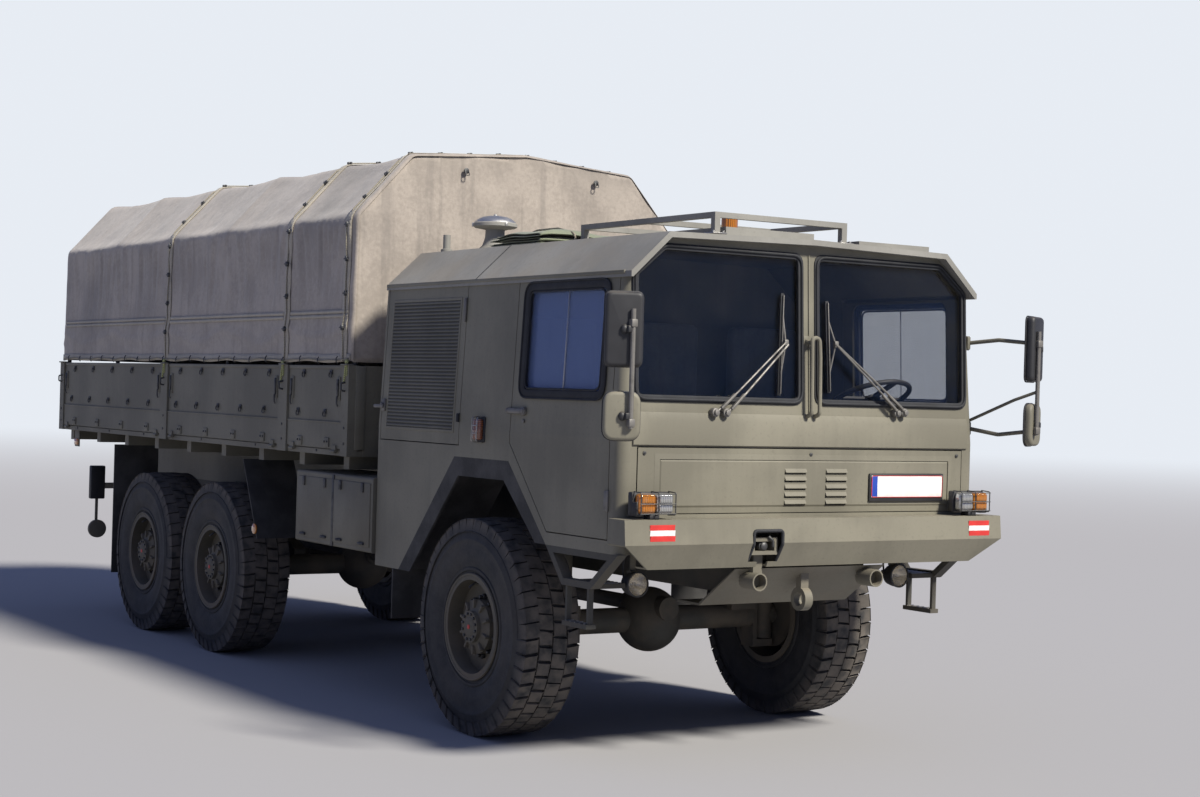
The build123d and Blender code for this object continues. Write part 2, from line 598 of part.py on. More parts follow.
DOOR = [(DOOR_FRONT, DOOR_BOTTOM_Z), (DOOR_LOW_REAR, DOOR_BOTTOM_Z), (DOOR_REAR, DOOR_STEP_Z),
        (DOOR_REAR, DOOR_TOP_Z), (DOOR_FRONT, DOOR_TOP_Z)]
LOUVRE_MID = ((LOUVRE_FRONT + LOUVRE_REAR) / 2 + CAB_Y, (LOUVRE_BOTTOM_Z + LOUVRE_TOP_Z) / 2)
LOUVRE_SIZE = (LOUVRE_REAR - LOUVRE_FRONT, LOUVRE_TOP_Z - LOUVRE_BOTTOM_Z)
SLATS = int((LOUVRE_SIZE[1] - 2 * LOUVRE_FRAME) / SLAT_PITCH)
WINDOW_MID = ((WINDOW_FRONT + WINDOW_REAR) / 2 + CAB_Y, (WINDOW_BOTTOM_Z + WINDOW_TOP_Z) / 2)
WINDOW_SIZE = (WINDOW_REAR - WINDOW_FRONT, WINDOW_TOP_Z - WINDOW_BOTTOM_Z)


def screen_outline(side, inset):
    """One windscreen opening in the XZ plane, its outer top corner cut off."""
    wide, high = SCREEN_CHAMFER
    outer = SCREEN_OUTER - inset
    inner = SCREEN_INNER + inset
    low = SCREEN_BOTTOM_Z + inset
    top = SCREEN_TOP_Z - inset
    return [(side * inner, low), (side * outer, low), (side * outer, top - high),
            (side * (outer - wide), top), (side * inner, top)]


with BuildPart() as cab_hollow:
    with BuildSketch(Plane.XZ.offset(-CAB_Y)):
        with BuildLine():
            Polyline(*full_section(WALL, BASE_Z), close=True)
        make_face()
        with Locations((0, ABOVE_Z)):
            Rectangle(2 * (ROOF_EDGE_HALF - EDGE_IN - WALL), 2 * (ABOVE_Z - EAVE_Z))
    extrude(amount=-CAB_LENGTH)
    with BuildSketch(Plane.YZ.offset(-CAB_HALF)):
        with BuildLine():
            Polyline(*cab_points([(WALL, FOOT_Z), (WALL, BELT_Z),
                                  (WALL + SCREEN_LEAN * (ABOVE_Z - BELT_Z), ABOVE_Z),
                                  (BULKHEAD, ABOVE_Z), (BULKHEAD, ARCH_TOP_Z + WALL),
                                  (ARCH_FRONT_TOP[0] + ARCH_SLACK, ARCH_TOP_Z + WALL),
                                  (ARCH_FRONT_LOW[0] + ARCH_SLACK, FOOT_Z)]), close=True)
        make_face()
        with BuildLine():
            Polyline(*cab_points([(BULKHEAD + WALL, BASE_Z), (BULKHEAD + WALL, ABOVE_Z),
                                  (CAB_LENGTH - WALL, ABOVE_Z), (CAB_LENGTH - WALL, BASE_Z)]), close=True)
        make_face()
    extrude(amount=2 * CAB_HALF, mode=Mode.INTERSECT)

# Planes where the side walls, the front, the bulkhead, the floor and the rear wall meet
PANEL_SEAMS = (
    Plane.YZ.offset(cab_x(UNDER_Z) - WALL),
    Plane.YZ.offset(WALL - cab_x(UNDER_Z)),
    Plane.XZ.offset(-screen_y(ABOVE_Z) - WALL),
    Plane.XZ.offset(-CAB_Y - BULKHEAD),
    Plane.XZ.offset(-CAB_REAR_Y + WALL),
)

with BuildPart() as cab_body:
    for plan_z in (BASE_Z, BELT_Z, ABOVE_Z):
        with BuildSketch(Plane.XY.offset(plan_z)):
            with Locations((0, (screen_y(plan_z) + CAB_REAR_Y) / 2)):
                Rectangle(2 * cab_x(plan_z), CAB_REAR_Y - screen_y(plan_z))
            fillet(vertices().group_by(Axis.Y)[0], CORNER_R)
    loft(ruled=True)
    with BuildSketch(Plane.YZ.offset(-CAB_HALF - BEYOND)):
        with BuildLine():
            Polyline(*cab_points([(-BEYOND, CAB_SILL_Z), (-BEYOND, ABOVE_Z), (CAB_LENGTH, ABOVE_Z),
                                  (CAB_LENGTH, FENDER_LOW_Z), ARCH_REAR_LOW, ARCH_REAR_TOP, ARCH_FRONT_TOP,
                                  ARCH_FRONT_LOW]), close=True)
        make_face()
    extrude(amount=2 * (CAB_HALF + BEYOND), mode=Mode.INTERSECT)
    with BuildSketch(Plane.XZ.offset(-CAB_Y)):
        with BuildLine():
            Polyline(*full_section(0, BASE_Z), close=True)
        make_face()
    extrude(amount=-CAB_LENGTH, mode=Mode.INTERSECT)
    add(cab_hollow.part, mode=Mode.SUBTRACT)
    with Locations((0, CAB_REAR_Y - WALL / 2, BASE_Z)):
        Box(2 * (CAB_HALF - WALL), WALL + 2 * BEYOND, REAR_OPEN_Z - BASE_Z, align=LOW, mode=Mode.SUBTRACT)
    with BuildSketch(Plane.YZ.offset(-CAB_HALF - BEYOND)):
        with BuildLine():
            Polyline(*cab_points(DOOR), close=True)
        make_face()
        offset(amount=GAP, kind=Kind.INTERSECTION)
        with Locations(LOUVRE_MID):
            Rectangle(LOUVRE_SIZE[0] + 2 * GAP, LOUVRE_SIZE[1] + 2 * GAP)
    extrude(amount=2 * (CAB_HALF + BEYOND), mode=Mode.SUBTRACT)
    with BuildSketch(Plane.XZ.offset(BEYOND - CAB_Y)):
        for side_name, side in SIDES:
            with BuildLine():
                Polyline(*screen_outline(side, 0), close=True)
            make_face()
        fillet(vertices(), SCREEN_CORNER)
    extrude(amount=-SCREEN_DEPTH, mode=Mode.SUBTRACT)
    with BuildSketch(Plane.XZ.offset(BEYOND - CAB_Y)):
        with Locations((0, PANEL_MID_Z)):
            Rectangle(2 * (PANEL_HALF + GAP), PANEL_TOP_Z - PANEL_BOTTOM_Z + 2 * GAP)
    extrude(amount=-PANEL_THICK - BEYOND, mode=Mode.SUBTRACT)
    for seam in PANEL_SEAMS:
        split(bisect_by=seam, keep=Keep.BOTH)
save(cab_body.part, "cab_body")

# Cab roof: chamfered shell with a front lip, a hatch and a low box
HATCH = (600, 560, 45)
HATCH_AT = (-200, CAB_Y + 410)
ROOF_BOX = (520, 400, 30)
ROOF_BOX_AT = (CAB_HALF - 518, CAB_Y + 350)
EAVE_HALF = cab_x(UNDER_Z) + EDGE_IN
with BuildPart() as cab_roof:
    with BuildSketch(Plane.XZ.offset(ROOF_LIP - CAB_Y)):
        with BuildLine():
            Polyline((-EAVE_HALF, UNDER_Z), (-EAVE_HALF, EAVE_Z), (-ROOF_EDGE_HALF, ROOF_EDGE_Z),
                     (0, ROOF_TOP_Z),
                     (ROOF_EDGE_HALF, ROOF_EDGE_Z), (EAVE_HALF, EAVE_Z), (EAVE_HALF, UNDER_Z),
                     SECTION_TOP[0], SECTION_TOP[1], SECTION_TOP[2], (-SECTION_TOP[1][0], SECTION_TOP[1][1]),
                     (-SECTION_TOP[0][0], UNDER_Z), close=True)
        make_face()
    extrude(amount=-CAB_LENGTH - ROOF_LIP)
    for (across, along), (width, length, height) in ((HATCH_AT, HATCH), (ROOF_BOX_AT, ROOF_BOX)):
        with Locations((across, along, ROOF_TOP_Z - BURY)):
            Box(width, length, height + BURY, align=LOW)
save(cab_roof.part, "cab_roof")

# Windscreens: two panes set in the middle of the front wall
PANE_GAP = 0.5
with BuildPart() as windscreens:
    with BuildSketch(Plane.XZ.offset(-CAB_Y)):
        for side_name, side in SIDES:
            with BuildLine():
                Polyline(*screen_outline(side, PANE_GAP), close=True)
            make_face()
        fillet(vertices(), SCREEN_CORNER)
    extrude(amount=-SCREEN_DEPTH)
    with BuildSketch(Plane.YZ.offset(-CAB_HALF)):
        with BuildLine():
            Polyline((screen_y(BELT_Z) + WALL / 2, BELT_Z), (screen_y(ABOVE_Z) + WALL / 2, ABOVE_Z),
                     (screen_y(ABOVE_Z) + WALL / 2 + GLASS, ABOVE_Z),
                     (screen_y(BELT_Z) + WALL / 2 + GLASS, BELT_Z), close=True)
        make_face()
    extrude(amount=2 * CAB_HALF, mode=Mode.INTERSECT)
save(windscreens.part, "windscreens")

# Front service panel: raised centre field and two columns of slots
FIELD = (2 * PANEL_HALF - 236, 250, 6)
FIELD_AT = (15, PANEL_MID_Z - 15)
FIELD_TAPER = 60
SLOT_SIZE = (145, 13)
SLOT_COLUMNS = (-91, 192)
SLOTS = 5
SLOT_Z = 1488
SLOT_PITCH = 42
PANEL_FACE_Y = CAB_Y - 2
with BuildPart() as front_panel:
    with BuildSketch(Plane.XZ.offset(-PANEL_FACE_Y)):
        with Locations((0, PANEL_MID_Z)):
            Rectangle(2 * PANEL_HALF, PANEL_TOP_Z - PANEL_BOTTOM_Z)
    extrude(amount=-PANEL_THICK)
    with BuildSketch(Plane.XZ.offset(-PANEL_FACE_Y)) as field:
        with Locations(FIELD_AT):
            Rectangle(FIELD[0], FIELD[1])
    extrude(amount=FIELD[2], taper=FIELD_TAPER)
    with BuildSketch(Plane.XZ.offset(FIELD[2] + BEYOND - PANEL_FACE_Y)):
        with Locations(*[(x, SLOT_Z) for x in SLOT_COLUMNS]):
            with GridLocations(0, SLOT_PITCH, 1, SLOTS):
                Rectangle(*SLOT_SIZE)
    extrude(amount=-PANEL_THICK - FIELD[2] - 2 * BEYOND, mode=Mode.SUBTRACT)
save(front_panel.part, "front_panel")

# Doors with their glass, and the louvred engine panels
HANDLE = (22, 140, 26)
HANDLE_Z = DOOR_STEP_Z + 178
HANDLE_Y = CAB_Y + DOOR_REAR - 80
HANDLE_SUNK = 3
SIDE_SLICE = 200
for side_name, side in SIDES:
    with BuildPart() as door:
        with BuildSketch(Plane.XZ.offset(-CAB_Y)):
            with BuildLine():
                Polyline(*wall_section(0, CAB_SILL_Z, UNDER_Z), close=True)
            make_face()
            with BuildLine():
                Polyline(*wall_section(WALL, CAB_SILL_Z, UNDER_Z), close=True)
            make_face(mode=Mode.SUBTRACT)
        extrude(amount=-CAB_LENGTH)
        with BuildSketch(Plane.YZ.offset(side * (CAB_HALF - SIDE_SLICE))):
            with BuildLine():
                Polyline(*cab_points(DOOR), close=True)
            make_face()
            with Locations(WINDOW_MID):
                RectangleRounded(WINDOW_SIZE[0], WINDOW_SIZE[1], WINDOW_CORNER, mode=Mode.SUBTRACT)
        extrude(amount=side * (SIDE_SLICE + BEYOND), mode=Mode.INTERSECT)
        with Locations((side * (cab_x(HANDLE_Z) - HANDLE_SUNK + HANDLE[0] / 2), HANDLE_Y, HANDLE_Z)):
            Box(*HANDLE)
    save(door.part, f"door_{side_name}")
    with BuildPart() as door_glass:
        with BuildSketch(Plane.XZ.offset(-CAB_Y)):
            with BuildLine():
                Polyline(*wall_section(WALL / 2, CAB_SILL_Z, UNDER_Z), close=True)
            make_face()
            with BuildLine():
                Polyline(*wall_section(WALL / 2 + GLASS, CAB_SILL_Z, UNDER_Z), close=True)
            make_face(mode=Mode.SUBTRACT)
        extrude(amount=-CAB_LENGTH)
        with BuildSketch(Plane.YZ.offset(side * (CAB_HALF - SIDE_SLICE))):
            with Locations(WINDOW_MID):
                RectangleRounded(WINDOW_SIZE[0] - 2 * PANE_GAP, WINDOW_SIZE[1] - 2 * PANE_GAP, WINDOW_CORNER)
        extrude(amount=side * (SIDE_SLICE + BEYOND), mode=Mode.INTERSECT)
    save(door_glass.part, f"door_glass_{side_name}")
    with BuildPart() as louvre_panel:
        with BuildSketch(Plane.XZ.offset(-CAB_Y)):
            with BuildLine():
                Polyline(*wall_section(0, CAB_SILL_Z, UNDER_Z), close=True)
            make_face()
            with BuildLine():
                Polyline(*wall_section(WALL, CAB_SILL_Z, UNDER_Z), close=True)
            make_face(mode=Mode.SUBTRACT)
        extrude(amount=-CAB_LENGTH)
        with BuildSketch(Plane.YZ.offset(side * (CAB_HALF - SIDE_SLICE))):
            with Locations(LOUVRE_MID):
                Rectangle(LOUVRE_SIZE[0], LOUVRE_SIZE[1])
                with GridLocations(0, SLAT_PITCH, 1, SLATS):
                    Rectangle(LOUVRE_SIZE[0] - 2 * LOUVRE_FRAME, SLAT_PITCH - SLAT_HEIGHT, mode=Mode.SUBTRACT)
        extrude(amount=side * (SIDE_SLICE + BEYOND), mode=Mode.INTERSECT)
    save(louvre_panel.part, f"louvre_panel_{side_name}")

# Seats and dashboard in the cab
OUTER_SEAT_X = CAB_HALF - 468
SEATS = (
    # across, width
    (OUTER_SEAT_X, 520),
    (0, 480),
    (-OUTER_SEAT_X, 520),
)
SEAT_Z = 1700
SEAT_DEPTH = 560
SEAT_THICK = 120
BACK_HEIGHT = 700
BACK_THICK = 110
SEAT_EDGE = 30
SEAT_REAR = BULKHEAD - 115
PLINTH_DEPTH = 240
PLINTH_IN = 60
SEAT_SAG = 20
with BuildPart() as seats:
    for seat_x, seat_width in SEATS:
        with BuildSketch(Plane.YZ.offset(seat_x - seat_width / 2)):
            with BuildLine():
                Polyline(*cab_points([(SEAT_REAR - BACK_THICK - SEAT_DEPTH, SEAT_Z),
                                      (SEAT_REAR - BACK_THICK, SEAT_Z - SEAT_SAG),
                                      (SEAT_REAR, SEAT_Z), (SEAT_REAR, SEAT_Z + BACK_HEIGHT),
                                      (SEAT_REAR - BACK_THICK + SEAT_SAG, SEAT_Z + BACK_HEIGHT),
                                      (SEAT_REAR - BACK_THICK, SEAT_Z + SEAT_THICK),
                                      (SEAT_REAR - BACK_THICK - SEAT_DEPTH, SEAT_Z + SEAT_THICK)]), close=True)
            make_face()
            fillet(vertices(), SEAT_EDGE)
        extrude(amount=seat_width)
        with Locations((seat_x, CAB_Y + SEAT_REAR - BACK_THICK - PLINTH_IN, ARCH_TOP_Z + WALL)):
            Box(seat_width - 2 * PLINTH_IN, PLINTH_DEPTH, SEAT_Z - ARCH_TOP_Z - WALL + BURY / 2, align=LOW)
save(seats.part, "seats")

WHEEL_AT = (CAB_HALF - 418, CAB_Y + 440, 1985)
WHEEL_RIM_R = 235
WHEEL_GRIP_R = 15
WHEEL_BOSS_R = 60
SPOKE = 40
SPOKE_THICK = 14
COLUMN_R = 38
COLUMN_TOP = 60
COLUMN_LENGTH = 300
HUB_SHAFT_R = 25
DASH_DEPTH = 300
DASH_GAP = 10
DASH_LOW_Z = 1650
DASH_TOP_Z = 1905
DASH_EDGE = 40
DASH_SIDE_GAP = 3
wheel_plane = Plane(origin=WHEEL_AT, x_dir=(1, 0, 0), z_dir=(0, 0.42, 0.9))
with BuildPart() as dashboard:
    with Locations((0, CAB_Y + WALL + DASH_GAP + DASH_DEPTH / 2, (DASH_LOW_Z + DASH_TOP_Z) / 2)):
        Box(2 * (cab_x(DASH_TOP_Z) - WALL - DASH_SIDE_GAP), DASH_DEPTH, DASH_TOP_Z - DASH_LOW_Z)
    fillet(dashboard.edges().filter_by(Axis.X), DASH_EDGE)
    with BuildSketch(wheel_plane.offset(-COLUMN_TOP)):
        Circle(COLUMN_R)
    extrude(amount=-COLUMN_LENGTH)
save(dashboard.part, "dashboard")
with BuildPart() as steering_wheel:
    with BuildSketch(Plane(origin=WHEEL_AT, x_dir=wheel_plane.x_dir, z_dir=wheel_plane.y_dir)):
        with Locations((WHEEL_RIM_R, 0)):
            Circle(WHEEL_GRIP_R)
    revolve(axis=Axis(WHEEL_AT, wheel_plane.z_dir))
    with BuildSketch(wheel_plane.offset(-SPOKE_THICK + 2)):
        Circle(WHEEL_BOSS_R)
        Rectangle(2 * WHEEL_RIM_R, SPOKE)
        with Locations((0, -WHEEL_RIM_R / 2)):
            Rectangle(SPOKE, WHEEL_RIM_R)
    extrude(amount=SPOKE_THICK)
    with BuildSketch(wheel_plane.offset(BEYOND - COLUMN_TOP)):
        Circle(HUB_SHAFT_R)
    extrude(amount=COLUMN_TOP - SPOKE_THICK / 2)
save(steering_wheel.part, "steering_wheel")

# Mirrors: a tube on two arms carries a flat mirror and a wide-angle mirror
MIRROR_X = CAB_HALF + MIRROR_OUT
MIRROR_TURN = 27
MIRROR_SIZE = (190, 60, 370)
MIRROR_Z = 2290
WIDE_SIZE = (185, 55, 240)
WIDE_Z = 1862
MIRROR_Y = (CAB_Y - MIRROR_REACH + MIRROR_SIZE[0] / 2 * sin(radians(MIRROR_TURN))
            + MIRROR_SIZE[1] / 2 * cos(radians(MIRROR_TURN)))
TUBE_IN = 20
MIRROR_TUBE_R = 14
MIRROR_TUBE = MIRROR_Z - WIDE_Z + 130
ARM_R = 12
ARM_ZS = (1830, 2320)
BRACKET = (30, 44, 70)
BRACKET_OUT = 2
BRACKET_Y = CAB_Y + 82
with BuildPart() as mirrors:
    for side_name, side in SIDES:
        tube_x = MIRROR_X - TUBE_IN
        with Locations((side * tube_x, MIRROR_Y, (MIRROR_Z + WIDE_Z) / 2)):
            Cylinder(MIRROR_TUBE_R, MIRROR_TUBE)
        for arm_z in ARM_ZS:
            bracket_x = cab_x(arm_z) + BRACKET[0] / 2 + BRACKET_OUT
            with Locations((side * bracket_x, BRACKET_Y, arm_z)):
                Box(*BRACKET)
            reach = (bracket_x - tube_x, BRACKET_Y - MIRROR_Y)
            arm_plane = Plane(origin=(side * tube_x, MIRROR_Y, arm_z), x_dir=(0, 0, 1),
                              z_dir=(side * reach[0], reach[1], 0))
            with BuildSketch(arm_plane):
                Circle(ARM_R)
            extrude(amount=hypot(*reach))
        for size, height in ((MIRROR_SIZE, MIRROR_Z), (WIDE_SIZE, WIDE_Z)):
            with Locations(Location((side * MIRROR_X, MIRROR_Y, height), (0, 0, side * MIRROR_TURN))):
                Box(*size)
save(mirrors.part, "mirrors")

# Steps: an open frame below the door and a hanging stirrup at each side
STEP_OUTLINE = [(0, CAB_SILL_Z), (247, 955), (531, 952), (ARCH_FRONT_LOW[0], CAB_SILL_Z)]
STEP_BAR = 35
STEP_DEPTH = 60
STEP_MID = 390
TREAD_MID = (STEP_OUTLINE[1][0] + STEP_OUTLINE[2][0]) / 2
TREAD = (220, 270, 25)
TREAD_Z = 965
LEG = (30, 18)
LEG_SPREAD = 105
LEG_TOP_Z = 975
LEG_IN = 25
STIRRUP = (60, 240, 24)
STIRRUP_Z = 742
with BuildPart() as cab_steps:
    for side_name, side in SIDES:
        with BuildSketch(Plane.YZ.offset(side * (CAB_HALF - STEP_DEPTH))):
            with BuildLine():
                Polyline(*cab_points(STEP_OUTLINE), close=True)
            make_face()
            offset(amount=-STEP_BAR, kind=Kind.INTERSECTION, mode=Mode.SUBTRACT)
        extrude(amount=side * STEP_DEPTH)
        with Locations((side * (CAB_HALF - TREAD[0] / 2), CAB_Y + TREAD_MID, TREAD_Z)):
            Box(*TREAD)
        for shift in (-LEG_SPREAD, LEG_SPREAD):
            with Locations((side * (CAB_HALF - LEG_IN), CAB_Y + STEP_MID + shift, STIRRUP_Z)):
                Box(*LEG, LEG_TOP_Z - STIRRUP_Z, align=LOW)
        with Locations((side * (CAB_HALF - LEG_IN), CAB_Y + STEP_MID, STIRRUP_Z)):
            Box(*STIRRUP, align=LOW)
save(cab_steps.part, "cab_steps")

# Mudguards: arch plates with lips at the front wheels, guards and flaps at the rear
ARCH_IN = TYRE_IN_X - 65
PLATE_REAR = ARCH_PLATE + 7
PLATE_SLANT = 7
PLATE_FRONT = ARCH_PLATE + 5
LIP_REAR = ARCH_LIP + 35
LIP_SLANT_REAR = 50
LIP_SLANT_FRONT = 48
LIP_THICK = 14
GUARD_TOP = (MID_AXLE_Y - 569, 1432)
GUARD_LOW = (MID_AXLE_Y - 849, 890)
GUARD_DEPTH = 385
GUARD_OUT = BED_HALF - 12
FLAP_THICK = 12
FLAP_IN = 10
FLAP_AHEAD = 50
FLAP_LOW_Z = 560
REAR_FLAP_IN = 30
REAR_FLAP_Y = REAR_AXLE_Y + TYRE_R + 150
REAR_FLAP_LOW_Z = 380
with BuildPart() as mudguards:
    for side_name, side in SIDES:
        with BuildSketch(Plane.YZ.offset(side * ARCH_IN)):
            with BuildLine():
                Polyline(*cab_points([ARCH_FRONT_LOW, ARCH_FRONT_TOP, ARCH_REAR_TOP, ARCH_REAR_LOW,
                                      (ARCH_REAR_LOW[0] - PLATE_REAR, ARCH_REAR_LOW[1]),
                                      (ARCH_REAR_TOP[0] - PLATE_SLANT, ARCH_TOP_Z - ARCH_PLATE),
                                      (ARCH_FRONT_TOP[0] + PLATE_SLANT, ARCH_TOP_Z - ARCH_PLATE),
                                      (ARCH_FRONT_LOW[0] + PLATE_FRONT, ARCH_FRONT_LOW[1])]), close=True)
            make_face()
        extrude(amount=side * (CAB_HALF - ARCH_IN))
        with BuildSketch(Plane.YZ.offset(side * (CAB_HALF - LIP_THICK))):
            with BuildLine():
                Polyline(*cab_points([ARCH_FRONT_LOW, ARCH_FRONT_TOP, ARCH_REAR_TOP, ARCH_REAR_LOW,
                                      (ARCH_REAR_LOW[0] - LIP_REAR, ARCH_REAR_LOW[1]),
                                      (ARCH_REAR_TOP[0] - LIP_SLANT_REAR, ARCH_TOP_Z - ARCH_LIP),
                                      (ARCH_FRONT_TOP[0] + LIP_SLANT_FRONT, ARCH_TOP_Z - ARCH_LIP),
                                      (ARCH_FRONT_LOW[0] + ARCH_LIP, ARCH_FRONT_LOW[1])]), close=True)
            make_face()
        extrude(amount=side * LIP_THICK)
        with Locations((side * (WHEEL_X - FLAP_IN), CAB_Y + ARCH_REAR_LOW[0] + FLAP_AHEAD, FLAP_LOW_Z)):
            Box(TYRE_WIDTH, FLAP_THICK, FENDER_LOW_Z - FLAP_LOW_Z, align=LOW)
        with BuildSketch(Plane.YZ.offset(side * (GUARD_OUT - GUARD_DEPTH))):
            with BuildLine():
                Polyline(GUARD_TOP, GUARD_LOW, (GUARD_LOW[0] + FLAP_THICK, GUARD_LOW[1]),
                         (GUARD_TOP[0] + FLAP_THICK, GUARD_TOP[1]), close=True)
            make_face()
        extrude(amount=side * GUARD_DEPTH)
        with Locations((side * (WHEEL_X - REAR_FLAP_IN), REAR_FLAP_Y, REAR_FLAP_LOW_Z)):
            Box(TYRE_WIDTH, FLAP_THICK, GUARD_TOP[1] - REAR_FLAP_LOW_Z, align=LOW)
save(mudguards.part, "mudguards")

# Lockers behind the cab and the fuel tank on the other side
LOCKER_Y = CAB_REAR_Y + 15
LOCKER_LENGTH = 1130
LOCKER_LOW_Z = 932
LOCKER_TOP_Z = 1402
LOCKER_DEPTH = 480
LOCKER_OUT = BED_HALF - 12
LOCKER_IN = LOCKER_OUT - LOCKER_DEPTH
LOCKER_EDGE = 15
CARRIER = 60
CARRIER_IN = 200
with BuildPart() as side_lockers:
    for side_name, side in SIDES:
        with BuildSketch(Plane.XZ.offset(-LOCKER_Y)):
            with Locations((side * (LOCKER_OUT - LOCKER_DEPTH / 2), (LOCKER_LOW_Z + LOCKER_TOP_Z) / 2)):
                RectangleRounded(LOCKER_DEPTH, LOCKER_TOP_Z - LOCKER_LOW_Z, LOCKER_EDGE)
        extrude(amount=-LOCKER_LENGTH)
        for carrier_y in (LOCKER_Y + CARRIER_IN, LOCKER_Y + LOCKER_LENGTH - CARRIER_IN):
            with Locations((side * (FRAME_HALF + LOCKER_IN) / 2, carrier_y, FRAME_TOP - CARRIER)):
                Box(LOCKER_IN - FRAME_HALF, CARRIER, CARRIER)
save(side_lockers.part, "side_lockers")

# Roof rack of flat bar, air intake and stub pipe, folded canvas
RACK_X = (-560, 350)
RACK_Y = (CAB_Y + 150, CAB_REAR_Y - 1240)
RACK_TOP_Z = 2955
RACK_BAR = 36
RACK_THICK = 30
RACK_FOOT = 2
with BuildPart() as roof_rack:
    rack_mid = ((RACK_X[0] + RACK_X[1]) / 2, (RACK_Y[0] + RACK_Y[1]) / 2)
    rack_width = RACK_X[1] - RACK_X[0]
    rack_length = RACK_Y[1] - RACK_Y[0]
    with BuildSketch(Plane.XY.offset(RACK_TOP_Z - RACK_THICK)):
        with Locations(rack_mid):
            Rectangle(rack_width, rack_length)
            Rectangle(rack_width - 2 * RACK_BAR, rack_length - 2 * RACK_BAR, mode=Mode.SUBTRACT)
            Rectangle(rack_width, RACK_BAR)
    extrude(amount=RACK_THICK)
    for post_x in RACK_X:
        for post_y in RACK_Y:
            in_x = RACK_BAR / 2 if post_x < 0 else -RACK_BAR / 2
            in_y = RACK_BAR / 2 if post_y == RACK_Y[0] else -RACK_BAR / 2
            with Locations((post_x + in_x, post_y + in_y, ROOF_TOP_Z + RACK_FOOT)):
                Box(RACK_BAR, RACK_BAR, RACK_TOP_Z - RACK_THICK / 2 - ROOF_TOP_Z, align=LOW)
save(roof_rack.part, "roof_rack")

INTAKE = (618 - CAB_HALF, CAB_REAR_Y - 300)
INTAKE_PROFILE = [(0, -2), (105, -2), (60, 90), (60, 140), (138, 160), (138, 182), (95, 215), (0, 228)]
STUB = (338 - CAB_HALF, CAB_REAR_Y - 190)
STUB_R = 23
STUB_LENGTH = 105
STUB_DROP = 12
with BuildPart() as air_intake:
    with BuildSketch(Plane(origin=(INTAKE[0], INTAKE[1], ROOF_TOP_Z), x_dir=(1, 0, 0), z_dir=(0, -1, 0))):
        with BuildLine():
            Polyline(*INTAKE_PROFILE, close=True)
        make_face()
    revolve(axis=Axis((INTAKE[0], INTAKE[1], 0), (0, 0, 1)))
    with Locations((STUB[0], STUB[1], ROOF_TOP_Z - STUB_DROP)):
        Cylinder(STUB_R, STUB_LENGTH, align=LOW)
save(air_intake.part, "air_intake")

CANVAS = (1100, 620, 130)
CANVAS_AT = (-250, CAB_REAR_Y - 850)
CANVAS_CORNER = 90
CANVAS_EDGE = 60
with BuildPart() as roof_canvas:
    with Locations((CANVAS_AT[0], CANVAS_AT[1], ROOF_TOP_Z + 2)):
        Box(*CANVAS, align=LOW)
    fillet(roof_canvas.edges().filter_by(Axis.Z), CANVAS_CORNER)
    fillet(roof_canvas.faces().sort_by(Axis.Z)[-1].edges(), CANVAS_EDGE)
save(roof_canvas.part, "roof_canvas")

# Load bed: floor on bearers and long beams, rave, headboard and posts
BEAM_WIDTH = 90
BEARER = (80, 120)
BEARERS = 9
BEARER_IN = 55
BEAM_IN = 150
RAVE_WIDTH = 60
SKIN = 5
POST_DEPTH = 70
BED_MID_Y = (BED_Y + BED_REAR_Y) / 2
FLOOR_HALF = BED_HALF - SIDE_THICK - GAP
RAVE_TOP_Z = SIDE_BOTTOM_Z - SKIN
with BuildPart() as load_bed:
    with Locations((0, BED_MID_Y, BED_FLOOR_Z - BED_FLOOR)):
        Box(2 * FLOOR_HALF, BED_LENGTH - 2 * SIDE_THICK - 2 * GAP, BED_FLOOR, align=LOW)
    with Locations((0, BED_MID_Y, RAVE_Z)):
        Box(2 * (BED_HALF - SKIN), BED_LENGTH - 2 * SKIN, RAVE_TOP_Z - RAVE_Z, align=LOW)
        Box(2 * (BED_HALF - SKIN - RAVE_WIDTH), BED_LENGTH - 2 * SKIN - 2 * RAVE_WIDTH,
            RAVE_TOP_Z - SKIN - RAVE_Z, align=LOW, mode=Mode.SUBTRACT)
    with Locations((0, BED_MID_Y, RAVE_TOP_Z)):
        with GridLocations(0, (BED_LENGTH - 2 * BEAM_IN) / (BEARERS - 1), 1, BEARERS):
            Box(2 * (BED_HALF - SKIN - BEARER_IN), *BEARER, align=HANGING)
    for side_name, side in SIDES:
        with Locations((side * (FRAME_HALF - RAIL_WIDTH / 2), BED_MID_Y, FRAME_TOP)):
            Box(BEAM_WIDTH, BED_LENGTH - 2 * BEAM_IN, RAVE_TOP_Z - BEARER[1] - FRAME_TOP + BEYOND, align=LOW)
    with Locations((0, BED_Y + SIDE_THICK / 2, RAVE_Z)):
        Box(2 * (BED_HALF - END_POST), SIDE_THICK, SIDE_TOP_Z - RAVE_Z, align=LOW)
    for post_y, post_width in POSTS:
        for side_name, side in SIDES:
            with Locations((side * (BED_HALF + POST_OUT - POST_DEPTH / 2), post_y, RAVE_Z)):
                Box(POST_DEPTH, post_width, SIDE_TOP_Z - RAVE_Z, align=LOW)
    split(bisect_by=Plane.XY.offset(BED_FLOOR_Z), keep=Keep.BOTH)
save(load_bed.part, "load_bed")

